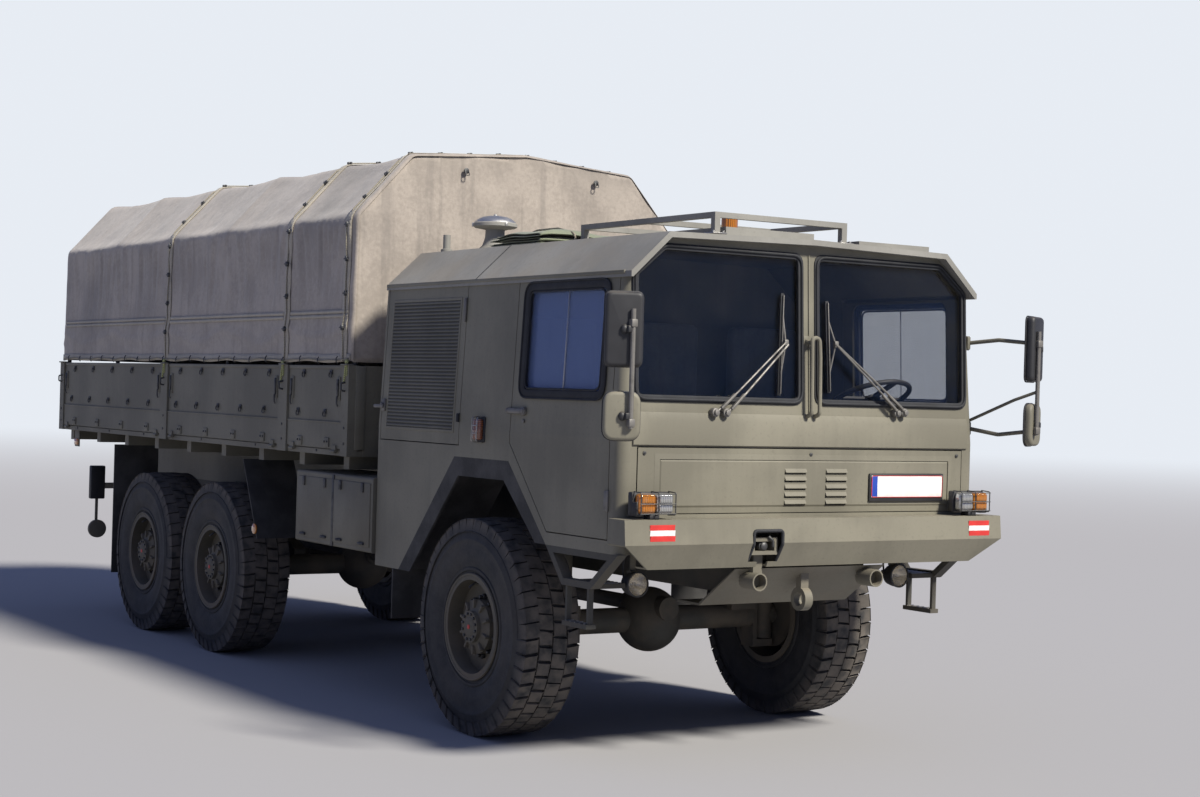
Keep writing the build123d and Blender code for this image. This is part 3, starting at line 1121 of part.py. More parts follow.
# Dropsides and tailgate: panels with a smooth lower band and hinge barrels
BAND_Z = 170
BAND_OUT = 6
BAND_FOOT = 5
BARREL_R = 11
BARREL_LENGTH = 60
BARREL_IN = 60
HINGE_STRAP = (16, 34)
STRAP_IN = 7
STRAP_RISE = 8
PANEL_NAMES = ("front", "middle", "rear")
for side_name, side in SIDES:
    for panel_name, (first_y, first_width), (next_y, next_width) in zip(PANEL_NAMES, POSTS, POSTS[1:]):
        low_y = first_y + first_width / 2 + GAP
        high_y = next_y - next_width / 2 - GAP
        mid_y = (low_y + high_y) / 2
        with BuildPart() as dropside:
            with Locations((side * (BED_HALF - SIDE_THICK / 2), mid_y, SIDE_BOTTOM_Z)):
                Box(SIDE_THICK, high_y - low_y, SIDE_TOP_Z - SIDE_BOTTOM_Z, align=LOW)
            with Locations((side * (BED_HALF + BAND_OUT / 2), mid_y, SIDE_BOTTOM_Z + BAND_FOOT)):
                Box(BAND_OUT, high_y - low_y, BAND_Z, align=LOW)
            for barrel_y in (low_y + BARREL_IN, high_y - BARREL_IN - BARREL_LENGTH):
                with BuildSketch(Plane.XZ.offset(-barrel_y)):
                    with Locations((side * (BED_HALF + HINGE_OUT), SIDE_BOTTOM_Z - HINGE_DROP)):
                        Circle(BARREL_R)
                    with Locations((side * (BED_HALF + HINGE_OUT - STRAP_IN), SIDE_BOTTOM_Z + STRAP_RISE)):
                        Rectangle(*HINGE_STRAP)
                extrude(amount=-BARREL_LENGTH)
        save(dropside.part, f"dropside_{side_name}_{panel_name}")

GATE_HALF = BED_HALF + POST_OUT - POST_DEPTH - GAP
GATE_HINGE_X = BED_HALF - 350
GATE_BARREL = 80
with BuildPart() as tailgate:
    with Locations((0, BED_REAR_Y - SIDE_THICK / 2, SIDE_BOTTOM_Z)):
        Box(2 * GATE_HALF, SIDE_THICK, SIDE_TOP_Z - SIDE_BOTTOM_Z, align=LOW)
    for hinge_x in (-GATE_HINGE_X, 0, GATE_HINGE_X):
        with BuildSketch(Plane.YZ.offset(hinge_x - GATE_BARREL / 2)):
            with Locations((BED_REAR_Y + HINGE_OUT, SIDE_BOTTOM_Z - HINGE_DROP)):
                Circle(BARREL_R)
            with Locations((BED_REAR_Y + HINGE_OUT - STRAP_IN, SIDE_BOTTOM_Z + STRAP_RISE)):
                Rectangle(*HINGE_STRAP)
        extrude(amount=GATE_BARREL)
save(tailgate.part, "tailgate")

# Tarp hoops: bent tubes between opposite posts, joined by ridge and shoulder rails
HOOP_IN = TARP_WALL + HOOP_R + 12
HOOP_BEND = 120
RAIL_DROP = 12
RAIL_R = HOOP_R - 3
RAIL_X = TARP_SHOULDER[0] - 5
second_y, third_y, last_y = [post_y for post_y, post_width in POSTS[1:]]
HOOP_YS = (BED_Y + 45, second_y, (second_y + third_y) / 2, third_y, (third_y + last_y) / 2, last_y)
HOOP_POINTS = [(-TARP_HALF + HOOP_IN + 3, SIDE_TOP_Z + BEYOND), (-TARP_EAVE[0] + HOOP_IN, TARP_EAVE[1] - 5),
               (-RAIL_X, TARP_SHOULDER[1] - HOOP_IN), (0, TARP_RIDGE_Z - HOOP_IN)]
HOOP_POINTS += [(-x, z) for x, z in reversed(HOOP_POINTS[:-1])]
with BuildPart() as tarp_hoops:
    for hoop_y in HOOP_YS:
        with BuildLine(Plane.XZ.offset(-hoop_y)) as hoop:
            FilletPolyline(*HOOP_POINTS, radius=HOOP_BEND)
        with BuildSketch(Plane(origin=hoop.line @ 0, z_dir=hoop.line % 0)):
            Circle(HOOP_R)
        sweep()
    for rail_x, rail_z in ((0, TARP_RIDGE_Z - HOOP_IN), (-RAIL_X, TARP_SHOULDER[1] - HOOP_IN - RAIL_DROP),
                           (RAIL_X, TARP_SHOULDER[1] - HOOP_IN - RAIL_DROP)):
        with BuildSketch(Plane.XZ.offset(-HOOP_YS[0])):
            with Locations((rail_x, rail_z)):
                Circle(RAIL_R)
        extrude(amount=-(HOOP_YS[-1] - HOOP_YS[0]))
save(tarp_hoops.part, "tarp_hoops")


def tarp_section(inset):
    """Tarp section in the XZ plane, closed along its lower edge."""
    right = [(inset - TARP_HALF, TARP_BOTTOM_Z), (inset - TARP_EAVE[0], TARP_EAVE[1] - inset / 2),
             (inset / 2 - TARP_SHOULDER[0], TARP_SHOULDER[1] - inset), (0, TARP_RIDGE_Z - inset)]
    return right + [(-x, z) for x, z in reversed(right[:-1])]


TARP_END_IN = 2
TARP_MOUTH = 30
TARP_FRONT_Y = BED_Y + TARP_END_IN
TARP_REAR_Y = BED_REAR_Y - TARP_END_IN
with BuildPart() as tarp:
    with BuildSketch(Plane.XZ.offset(-TARP_FRONT_Y)):
        with BuildLine():
            Polyline(*tarp_section(0), close=True)
        make_face()
    extrude(amount=-(TARP_REAR_Y - TARP_FRONT_Y))
    with BuildSketch(Plane.XZ.offset(-(TARP_FRONT_Y + TARP_WALL))):
        with BuildLine():
            Polyline(*tarp_section(TARP_WALL), close=True)
        make_face()
        with Locations((0, TARP_BOTTOM_Z)):
            Rectangle(2 * (TARP_HALF - TARP_WALL), 2 * TARP_MOUTH)
    extrude(amount=-(TARP_REAR_Y - TARP_FRONT_Y - 2 * TARP_WALL), mode=Mode.SUBTRACT)
save(tarp.part, "tarp")

# Lamps: round lamps behind the bumper's lower edge, clusters on it, beacon, rear lamps
LAMP_R = 66
LAMP_X = CAB_HALF - LAMP_IN
LAMP_Y = CAB_Y + 265
LAMP_Z = 968
LAMP_DEPTH = 105
LAMP_ARM = (36, 60)
CLUSTER = (230, 95, 120)
CLUSTER_X = CAB_HALF - CLUSTER_IN
CLUSTER_IN_Y = 15
CLUSTER_Y = CAB_Y - BUMPER_REACH + CLUSTER_IN_Y + CLUSTER[1] / 2
CLUSTER_FOOT = (60, 60, 20)
BEACON = (-130, CAB_Y + 600)
BEACON_SIZE = (50, 125)
BEACON_EDGE = 15
REAR_LAMP = (130, 60, 290)
REAR_LAMP_X = BED_HALF - 300
REAR_LAMP_Z = 1060
REAR_ARM = 50
REAR_ARM_Z = REAR_LAMP_Z - 30
REAR_LAMP_Y = FRAME_REAR_Y + REAR_BEAM_DEPTH / 2
DISC_R = 78
DISC_THICK = 40
DISC_STEM = (24, 16)
DISC_Z = 655
with BuildPart() as lamps:
    for side_name, side in SIDES:
        with BuildSketch(Plane.XZ.offset(-LAMP_Y)):
            with Locations((side * LAMP_X, LAMP_Z)):
                Circle(LAMP_R)
        extrude(amount=-LAMP_DEPTH)
        with Locations((side * LAMP_X, LAMP_Y + LAMP_DEPTH / 2, LAMP_Z)):
            Box(*LAMP_ARM, CAB_SILL_Z - LAMP_Z, align=LOW)
        with Locations((side * CLUSTER_X, CLUSTER_Y, BUMPER_TOP_Z)):
            Box(*CLUSTER_FOOT, align=LOW)
        with Locations((side * CLUSTER_X, CLUSTER_Y, BUMPER_TOP_Z + CLUSTER_FOOT[2])):
            Box(*CLUSTER, align=LOW)
        with Locations((side * REAR_LAMP_X, REAR_LAMP_Y, REAR_LAMP_Z)):
            Box(*REAR_LAMP)
        with Locations((side * (FRAME_HALF + REAR_LAMP_X) / 2, REAR_LAMP_Y, REAR_ARM_Z)):
            Box(REAR_LAMP_X - FRAME_HALF, REAR_ARM, REAR_ARM)
        with Locations((side * REAR_LAMP_X, REAR_LAMP_Y, DISC_Z)):
            Box(*DISC_STEM, REAR_LAMP_Z - REAR_LAMP[2] / 2 - DISC_Z + BURY / 4, align=LOW)
        with BuildSketch(Plane.XZ.offset(DISC_THICK / 2 - REAR_LAMP_Y)):
            with Locations((side * REAR_LAMP_X, DISC_Z)):
                Circle(DISC_R)
        extrude(amount=-DISC_THICK)
    with Locations((BEACON[0], BEACON[1], ROOF_TOP_Z + HATCH[2])):
        Cylinder(*BEACON_SIZE, align=LOW)
    fillet(lamps.faces().sort_by(Axis.Z)[-1].edges(), BEACON_EDGE)
save(lamps.part, "lamps")

# Tow coupling on the rear beam, its jaw open to the rear
COUPLING_Z = 895
COUPLING_PIN_R = 20
COUPLING_END_Y = BED_REAR_Y + COUPLING_REACH
COUPLING_FRONT_Y = FRAME_REAR_Y + REAR_BEAM_DEPTH
COUPLING_BODY = (180, 130)
COUPLING_PLATE = (220, 20, 300)
COUPLING_HEAD = (240, 110, 150)
COUPLING_GAP = 70
BACKED = (Align.CENTER, Align.MIN, Align.CENTER)
with BuildPart() as tow_coupling:
    with Locations((0, COUPLING_FRONT_Y, COUPLING_Z)):
        Box(COUPLING_BODY[0], COUPLING_END_Y - COUPLING_FRONT_Y - COUPLING_HEAD[1] / 2, COUPLING_BODY[1],
            align=BACKED)
        Box(*COUPLING_PLATE, align=BACKED)
    with Locations((0, COUPLING_END_Y - COUPLING_HEAD[1], COUPLING_Z)):
        Box(*COUPLING_HEAD, align=BACKED)
        Box(COUPLING_HEAD[0] + 2 * BEYOND, COUPLING_HEAD[1] + BEYOND, COUPLING_GAP, align=BACKED,
            mode=Mode.SUBTRACT)
    with Locations((0, COUPLING_END_Y - COUPLING_HEAD[1] / 2, COUPLING_Z)):
        Cylinder(COUPLING_PIN_R, COUPLING_HEAD[2])
save(tow_coupling.part, "tow_coupling")
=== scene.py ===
"""Finishes and fine pieces of a six-wheel military cargo truck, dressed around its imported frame.

Sizes are in metres, in the frame's axes: X to the truck's left side, Y to its rear, Z up.
"""
import logging
import math
from dataclasses import dataclass, field
from enum import Enum
from functools import cache
from typing import Callable, Sequence

import bmesh
import bpy
from mathutils import Matrix, Vector, noise


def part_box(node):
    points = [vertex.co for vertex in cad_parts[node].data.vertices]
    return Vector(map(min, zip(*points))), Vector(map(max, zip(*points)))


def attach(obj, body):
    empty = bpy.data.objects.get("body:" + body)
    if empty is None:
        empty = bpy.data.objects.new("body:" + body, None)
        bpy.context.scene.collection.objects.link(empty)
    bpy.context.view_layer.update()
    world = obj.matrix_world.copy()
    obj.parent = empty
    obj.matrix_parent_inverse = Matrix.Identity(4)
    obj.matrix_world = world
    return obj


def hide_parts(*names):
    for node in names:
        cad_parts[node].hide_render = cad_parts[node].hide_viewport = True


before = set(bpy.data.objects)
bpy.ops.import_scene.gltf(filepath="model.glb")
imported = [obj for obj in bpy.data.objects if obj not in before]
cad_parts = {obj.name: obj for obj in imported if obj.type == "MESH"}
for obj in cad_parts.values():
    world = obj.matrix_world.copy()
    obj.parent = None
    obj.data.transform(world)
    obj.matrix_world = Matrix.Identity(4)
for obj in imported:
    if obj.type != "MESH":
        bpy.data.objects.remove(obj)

LOG = logging.getLogger("truck")
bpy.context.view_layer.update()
ROOT = "truck"
FRONT_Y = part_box("cab_body")[0].y
CAB_HALF = -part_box("cab_body")[0].x
BED_LOW, BED_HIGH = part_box("load_bed")
BELT_Z = 1.740
TUMBLE = 0.048
SCREEN_LEAN = 0.05
ACROSS = (1, 0, 0)
AHEAD = (0, -1, 0)
REARWARD = (0, 1, 0)
UP = (0, 0, 1)
Colour = tuple[float, float, float]
Point = Sequence[float]
Pairs = Sequence[tuple[float, float]]


class Slot(Enum):
    """The record's material slots that pieces are called with; no piece takes its finish from them."""

    BODY = "body_paint"
    FRAME = "frame_paint"
    TYRE = "tyre"
    CANVAS = "canvas"
    ROOF_CANVAS = "roof_canvas"
    SEAT = "seat"
    PLASTIC = "black_plastic"
    LAMP = "lamp"


class Side(Enum):
    """The two sides of the truck, as the sign of X."""

    RIGHT = -1
    LEFT = 1

    @property
    def word(self) -> str:
        """Side's name as the nodes write it."""
        return self.name.lower()


def shade(colour: Colour, factor: float) -> Colour:
    """The colour made lighter or darker by a factor."""
    return tuple(value * factor for value in colour)


class Wire:
    """A shader socket with arithmetic, so that shader maths reads as an expression."""

    def __init__(self, board: "Board", socket: bpy.types.NodeSocket) -> None:
        """Keeps an output socket and the board that its sums are added to."""
        self.board = board
        self.socket = socket

    def _sum(self, operation: str, first: "Wire | float", second: "Wire | float") -> "Wire":
        """The result of one Math node, by Blender's name of the operation."""
        return self.board.node("Math", 0, {0: first, 1: second}, operation=operation)

    def __add__(self, other: "Wire | float") -> "Wire":
        """Sum with a value."""
        return self._sum("ADD", self, other)

    def __mul__(self, other: "Wire | float") -> "Wire":
        """Product with a value."""
        return self._sum("MULTIPLY", self, other)

    def __sub__(self, other: "Wire | float") -> "Wire":
        """Difference with a value on the right."""
        return self._sum("SUBTRACT", self, other)

    def __rsub__(self, other: float) -> "Wire":
        """Difference from a value on the left."""
        return self._sum("SUBTRACT", other, self)

    __radd__ = __add__

    def step(self, low: float, high: float) -> "Wire":
        """Mask that goes smoothly from 0 at the low value to 1 at the high one."""
        return self.board.node("MapRange", "Result", {"Value": self, "From Min": low, "From Max": high},
                               interpolation_type="SMOOTHSTEP")


class Board:
    """The node tree of one material, or of the world, while it is being wired."""

    def __init__(self, name: str, world: bool = False) -> None:
        """Starts an empty tree.

        Args:
            name: Name of the material or world.
            world: True for a world.
        """
        self.holder = (bpy.data.worlds if world else bpy.data.materials).new(name)
        self.holder.use_nodes = True
        self.tree = self.holder.node_tree
        self.tree.nodes.clear()
        self.output = self.tree.nodes.new("ShaderNodeOutputWorld" if world else "ShaderNodeOutputMaterial")

    def node(self, kind: str, output: "str | int", inputs: "dict[str | int, object] | None" = None,
             **settings: object) -> Wire:
        """Adds one node.

        Args:
            kind: Blender's name of the node type, without the ShaderNode before it.
            output: Name or number of the wanted output.
            inputs: Values or wires by the socket's name or number.
            settings: Node properties, set before the inputs.

        Returns:
            The output's wire.
        """
        made = self.tree.nodes.new("ShaderNode" + kind)
        for key, value in settings.items():
            setattr(made, key, value)
        for key, value in (inputs or {}).items():
            if isinstance(value, Wire):
                self.tree.links.new(value.socket, made.inputs[key])
            else:
                made.inputs[key].default_value = value
        return Wire(self, made.outputs[output])

    def end(self, shader: Wire) -> bpy.types.ID:
        """Ends the tree in a shader and gives the material or world."""
        self.tree.links.new(shader.socket, self.output.inputs["Surface"])
        return self.holder

    def place(self, stretch: Point = (1.0, 1.0, 1.0), chart: str = "Object") -> Wire:
        """Coordinates stretched along the axes: "Object", or "UV" for the mesh's own map in metres."""
        spot = self.node("TexCoord", chart)
        return self.node("Mapping", "Vector", {"Vector": spot, "Scale": stretch}, vector_type="POINT")

    def z_of(self, vector: str) -> Wire:
        """Z of the "Object" place, as a height, or of the "Normal", from -1 to 1."""
        return self.node("SeparateXYZ", "Z", {0: self.node("TexCoord", vector)})

    def spots(self, scale: float, detail: float = 3.0, stretch: Point = (1.0, 1.0, 1.0)) -> Wire:
        """Noise from 0 to 1, by its spots per metre, its octaves and a factor on each axis."""
        return self.node("TexNoise", "Fac", {"Vector": self.place(stretch), "Scale": scale, "Detail": detail})

    def wave(self, direction: str, scale: float, chart: str = "Object", waver: float = 0.0) -> Wire:
        """Bands from 0 to 1.

        Args:
            direction: Blender's name of the direction across the bands.
            scale: Their scale.
            chart: Coordinates that they follow.
            waver: How far they bend out of line.

        Returns:
            The bands' wire.
        """
        return self.node("TexWave", "Fac", {"Vector": self.place(chart=chart), "Scale": scale,
                                            "Distortion": waver},
                         bands_direction=direction)

    def attribute(self, name: str) -> Wire:
        """A number that the mesh carries."""
        return self.node("Attribute", "Fac", attribute_name=name)

    def mix(self, below: "Wire | Colour", above: "Wire | Colour", mask: Wire) -> Wire:
        """Mixes two colours: the first where the mask is 0, the second where it is 1."""
        layers = [value if isinstance(value, Wire) else (*value, 1.0) for value in (below, above)]
        return self.node("Mix", 2, {0: mask, 6: layers[0], 7: layers[1]}, data_type="RGBA")

    def bump(self, height: Wire, depth: float, under: "Wire | None" = None) -> Wire:
        """A bump over the surface.

        Args:
            height: Height from 0 to 1.
            depth: Depth of the relief in metres.
            under: A bump that lies below this one.

        Returns:
            The normal's wire.
        """
        inputs = {"Height": height, "Distance": depth, "Strength": 1.0}
        if under is not None:
            inputs["Normal"] = under
        return self.node("Bump", "Normal", inputs)

    def surface(self, **inputs: object) -> bpy.types.Material:
        """Ends the board in one Principled surface, from inputs with underscores for spaces."""
        named = {key.replace("_", " "): value for key, value in inputs.items()}
        return self.end(self.node("BsdfPrincipled", "BSDF", named))


DUST: Colour = (0.30, 0.255, 0.19)
MUD: Colour = (0.16, 0.13, 0.095)
BARE: Colour = (0.055, 0.045, 0.038)
TREAD_GRIT: Colour = (0.115, 0.10, 0.085)
TREAD_STAIN: Colour = (0.07, 0.06, 0.048)
THREAD: Colour = (0.42, 0.38, 0.30)


@dataclass(frozen=True)
class Paint:
    """Matt vehicle paint with mottling, rain streaks, dust on what faces up and dirt near the ground."""

    name: str
    colour: Colour
    dust: float = 0.35
    dirt: float = 0.5
    dirt_height: float = 1.5
    rough: float = 0.58
    chips: float = 0.0

    def make(self) -> bpy.types.Material:
        """Wires the paint.

        Returns:
            The material.
        """
        board = Board(self.name)
        cloudy = board.spots(1.7, 5.0)
        fine = board.spots(55.0, 4.0)
        streaks = board.spots(1.0, 4.0, (26.0, 26.0, 1.1))
        mottle = (cloudy * 0.88 + streaks * 0.12).step(0.36, 0.64)
        base = board.mix(shade(self.colour, 0.84), shade(self.colour, 1.16), mottle)
        base = board.mix(base, shade(self.colour, 0.7), fine.step(0.56, 0.72) * 0.3)
        worn = board.spots(130.0, 2.0).step(0.70, 0.76) * board.spots(6.0, 3.0).step(0.5, 0.62) * self.chips
        base = board.mix(base, BARE, worn)
        settled = board.z_of("Normal").step(0.25, 0.95) * board.spots(3.1, 6.0).step(0.3, 0.72) * self.dust
        near_ground = 1.0 - board.z_of("Object").step(0.25, self.dirt_height)
        splashed = near_ground * board.spots(4.3, 7.0).step(0.34, 0.68) * self.dirt
        base = board.mix(base, DUST, settled)
        base = board.mix(base, MUD, splashed)
        rough = self.rough + settled * 0.25 + splashed * 0.25 + (fine - 0.5) * 0.12
        relief = board.bump(board.spots(2.2, 2.0), 0.0022)
        relief = board.bump(board.spots(420.0, 2.0), 0.00022, relief)
        return board.surface(Base_Color=base, Roughness=rough, Normal=relief, IOR=1.45)


@dataclass(frozen=True)
class Rubber:
    """Black rubber with a dusty bloom, and dust where the mesh's own dust value says so."""

    name: str
    colour: Colour = (0.02, 0.021, 0.023)
    bloom: float = 0.3
    treads: bool = False

    def make(self) -> bpy.types.Material:
        """Wires the rubber.

        Returns:
            The material.
        """
        board = Board(self.name)
        base = board.mix(self.colour, shade(self.colour, 2.6),
                         board.spots(7.0, 6.0).step(0.35, 0.7) * self.bloom)
        rough = 0.62 + board.spots(60.0, 4.0) * 0.25
        if self.treads:
            grit = board.attribute("dust") * board.spots(14.0, 8.0).step(0.25, 0.62)
            base = board.mix(base, TREAD_GRIT, grit)
            base = board.mix(base, TREAD_STAIN, board.spots(2.3, 6.0).step(0.45, 0.7) * 0.35)
            rough = rough + grit * 0.1
        relief = board.bump(board.spots(90.0, 5.0), 0.0007)
        return board.surface(Base_Color=base, Roughness=rough, Normal=relief)


@dataclass(frozen=True)
class Canvas:
    """Woven canvas bleached by weather, with stains, rain marks and a coarse weave."""

    name: str
    colour: Colour
    stain: Colour
    bleach: float = 1.25
    threads: float = 260.0
    stitched: bool = False

    def make(self) -> bpy.types.Material:
        """Wires the cloth.

        Returns:
            The material.
        """
        board = Board(self.name)
        blotches = board.spots(3.4, 7.0)
        grains = board.spots(38.0, 6.0)
        runs = board.spots(1.0, 5.0, (13.0, 13.0, 0.9))
        base = board.mix(self.colour, shade(self.colour, self.bleach),
                         (blotches * 0.6 + grains * 0.4).step(0.38, 0.62))
        base = board.mix(base, self.stain, board.spots(0.9, 6.0).step(0.48, 0.76) * 0.6)
        base = board.mix(base, self.stain, runs.step(0.54, 0.72) * 0.3)
        base = board.mix(base, shade(self.colour, 0.72), board.spots(210.0, 3.0).step(0.52, 0.68) * 0.3)
        weave, weft = (board.wave(direction, self.threads / 6.2832, "UV") for direction in "XY")
        relief = board.bump(board.spots(2.4, 5.0), 0.02)
        relief = board.bump(board.spots(9.0, 4.0), 0.004, relief)
        relief = board.bump(weave * 0.5 + weft * 0.5, 0.0005, relief)
        if self.stitched:
            thread = board.attribute("stitch") * board.wave("Y", 16.0, "UV").step(0.35, 0.5)
            base = board.mix(base, THREAD, thread * 0.7)
            relief = board.bump(thread, 0.0012, relief)
        return board.surface(Base_Color=base, Roughness=0.86 + grains * 0.1, Normal=relief,
                             Sheen_Weight=0.25, Sheen_Roughness=0.6)


@dataclass(frozen=True)
class Metal:
    """Bare or plated metal with fine scratches and some tarnish."""

    name: str
    colour: Colour
    rough: float = 0.3
    tarnish: float = 0.3
    metallic: float = 1.0

    def make(self) -> bpy.types.Material:
        """Wires the metal.

        Returns:
            The material.
        """
        board = Board(self.name)
        clouds = board.spots(22.0, 6.0)
        base = board.mix(self.colour, shade(self.colour, 0.45), clouds.step(0.45, 0.75) * self.tarnish)
        rough = self.rough + clouds.step(0.4, 0.8) * 0.22
        relief = board.bump(board.spots(300.0, 3.0, (1.0, 1.0, 4.0)), 0.0003)
        return board.surface(Base_Color=base, Roughness=rough, Metallic=self.metallic, Normal=relief)


@dataclass(frozen=True)
class Plastic:
    """Moulded plastic with a fine grain."""

    name: str
    colour: Colour
    rough: float = 0.45
    grain: float = 0.0004
    dust: float = 0.25

    def make(self) -> bpy.types.Material:
        """Wires the plastic.

        Returns:
            The material.
        """
        board = Board(self.name)
        base = board.mix(self.colour, shade(self.colour, 1.5), board.spots(12.0, 5.0).step(0.4, 0.7) * 0.4)
        settled = board.z_of("Normal").step(0.3, 0.9) * board.spots(9.0, 6.0).step(0.35, 0.7) * self.dust
        relief = board.bump(board.spots(260.0, 3.0), self.grain)
        return board.surface(Base_Color=board.mix(base, DUST, settled), Normal=relief,
                             Roughness=self.rough + board.spots(35.0, 4.0) * 0.15)


@dataclass(frozen=True)
class Lens:
    """Ribbed lamp lens, glossy, with its ribs along one axis; its colour is darker in the rib troughs as
    painted shade, and it gives off a faint painted emission.
    """

    name: str
    colour: Colour
    metallic: float = 0.0
    ribs: float = 90.0
    direction: str = "X"
    painted_glow: float = 0.0

    def make(self) -> bpy.types.Material:
        """Wires the lens.

        Returns:
            The material.
        """
        board = Board(self.name)
        # The rib bands also feed the colour: the darker troughs are painted shade across each rib.
        ribs = board.wave(self.direction, self.ribs / 3.1416)
        dirt = board.spots(40.0, 5.0).step(0.5, 0.8) * 0.25
        base = board.mix(board.mix(shade(self.colour, 0.55), self.colour, ribs), DUST, dirt)
        # The emission is painted light in the lens, the same on unlit lamps and on reflectors.
        return board.surface(Base_Color=base, Roughness=0.1 + dirt * 0.5, Metallic=self.metallic, IOR=1.55,
                             Coat_Weight=1.0, Coat_Roughness=0.05, Normal=board.bump(ribs, 0.0025),
                             Emission_Color=(*self.colour, 1.0), Emission_Strength=self.painted_glow)


@dataclass(frozen=True)
class Glass:
    """Window glass, clearer seen straight on, with a film of dust; its colour is the glass's own dark bluish
    colour in the windscreens and a painted reflection in the door and lamp glass.
    """

    name: str
    tint: Colour = (0.006, 0.014, 0.034)
    body: float = 0.26

    def make(self) -> bpy.types.Material:
        """Wires the glass.

        Returns:
            The material.
        """
        board = Board(self.name)
        facing = board.node("LayerWeight", "Facing", {"Blend": 0.5})
        rim = facing * facing * facing * facing * 0.9
        film = board.spots(5.0, 7.0).step(0.4, 0.8) * 0.012
        cover = self.body + rim * (1.0 - self.body) + film
        return board.surface(Base_Color=board.mix(self.tint, DUST, film * 4.0), Roughness=0.03 + film,
                             Alpha=cover, IOR=1.75, Specular_IOR_Level=0.7)


@dataclass(frozen=True)
class Rope:
    """Laid rope, its strands drawn by slanting bands."""

    name: str
    colour: Colour

    def make(self) -> bpy.types.Material:
        """Wires the rope.

        Returns:
            The material.
        """
        board = Board(self.name)
        strands = board.wave("DIAGONAL", 60.0, waver=0.5)
        base = board.mix(shade(self.colour, 0.45), self.colour, strands.step(0.2, 0.8))
        base = board.mix(base, DUST, board.spots(15.0, 5.0).step(0.45, 0.7) * 0.3)
        return board.surface(Base_Color=base, Roughness=0.9, Normal=board.bump(strands, 0.0015))


class Finish(Enum):
    """Every finish of the truck."""

    PAINT = Paint("khaki_paint", (0.178, 0.166, 0.126), dust=0.3, dirt=0.35, chips=0.5)
    ROOF_PAINT = Paint("roof_paint", (0.245, 0.238, 0.215), dust=0.45, dirt=0.0, rough=0.66, chips=0.6)
    BED_PAINT = Paint("bed_paint", (0.150, 0.140, 0.108), dust=0.35, dirt=0.45, dirt_height=1.9, chips=0.8)
    WHEEL_PAINT = Paint("wheel_paint", (0.085, 0.078, 0.060), dust=0.4, dirt=0.85, dirt_height=1.3, chips=0.7)
    UNDER = Paint("underbody_paint", (0.058, 0.056, 0.048), dust=0.5, dirt=0.75, dirt_height=1.4, rough=0.7,
                  chips=1.0)
    TYRE = Rubber("tyre_rubber", treads=True)
    RUBBER = Rubber("seal_rubber", (0.016, 0.017, 0.02))
    FLAP = Rubber("flap_rubber", (0.03, 0.029, 0.028), bloom=0.6)
    TARP = Canvas("tarp_canvas", (0.292, 0.254, 0.217), (0.112, 0.101, 0.092), bleach=1.3)
    STRAP = Canvas("strap_canvas", (0.33, 0.295, 0.235), (0.16, 0.145, 0.12), threads=420.0, stitched=True)
    ROOF_CLOTH = Canvas("folded_canvas", (0.17, 0.19, 0.12), (0.08, 0.09, 0.06), bleach=1.2)
    SEAT = Canvas("seat_cloth", (0.15, 0.15, 0.14), (0.07, 0.07, 0.07), threads=500.0)
    GREY_IRON = Metal("grey_iron", (0.19, 0.18, 0.165), rough=0.5, tarnish=0.5, metallic=0.4)
    STEEL = Metal("worn_steel", (0.42, 0.41, 0.39), rough=0.38, tarnish=0.6)
    DARK_STEEL = Metal("dark_steel", (0.10, 0.10, 0.10), rough=0.5, tarnish=0.7, metallic=0.8)
    CHROME = Metal("lamp_reflector", (0.86, 0.80, 0.68), rough=0.12, tarnish=0.12)
    MIRROR = Metal("mirror_face", (0.85, 0.87, 0.88), rough=0.02, tarnish=0.02)
    ALUMINIUM = Metal("cast_aluminium", (0.55, 0.54, 0.52), rough=0.42, tarnish=0.4)
    PLASTIC = Plastic("black_moulding", (0.022, 0.022, 0.024))
    WHITE = Plastic("white_sheet", (0.72, 0.72, 0.70), rough=0.35, dust=0.1)
    RED = Plastic("red_sheet", (0.55, 0.035, 0.03), rough=0.35, dust=0.1)
    BLUE = Plastic("blue_band", (0.015, 0.05, 0.32), rough=0.35, dust=0.05)
    # The amber and brown lenses give off faint painted light; the amber one also covers the bed's side
    # reflectors.
    AMBER = Lens("amber_lens", (0.46, 0.155, 0.004), painted_glow=0.06)
    BROWN = Lens("side_marker_lens", (0.25, 0.075, 0.03), painted_glow=0.01, direction="Z")
    CLEAR = Lens("clear_lens", (0.48, 0.48, 0.47), metallic=0.45)
    RED_LENS = Lens("red_lens", (0.55, 0.03, 0.02), direction="Z")
    # The lamp glass's warm cream colour is a painted reflection of the bowl behind it.
    BULB = Glass("lamp_glass", (0.5, 0.42, 0.28), 0.22)
    GLASS = Glass("window_glass", body=0.14)
    # The door glass's blue colour is a painted reflection of the sky.
    SIDE_GLASS_PAINTED_SKY = Glass("door_glass_tint", (0.17, 0.24, 0.46), 0.42)
    ROPE = Rope("lashing_rope", (0.40, 0.36, 0.28))
    ROPE_END = Rope("rope_end", (0.48, 0.50, 0.22))

    @property
    @cache
    def material(self) -> bpy.types.Material:
        """The finish's material, made when it is first asked for."""
        return self.value.make()


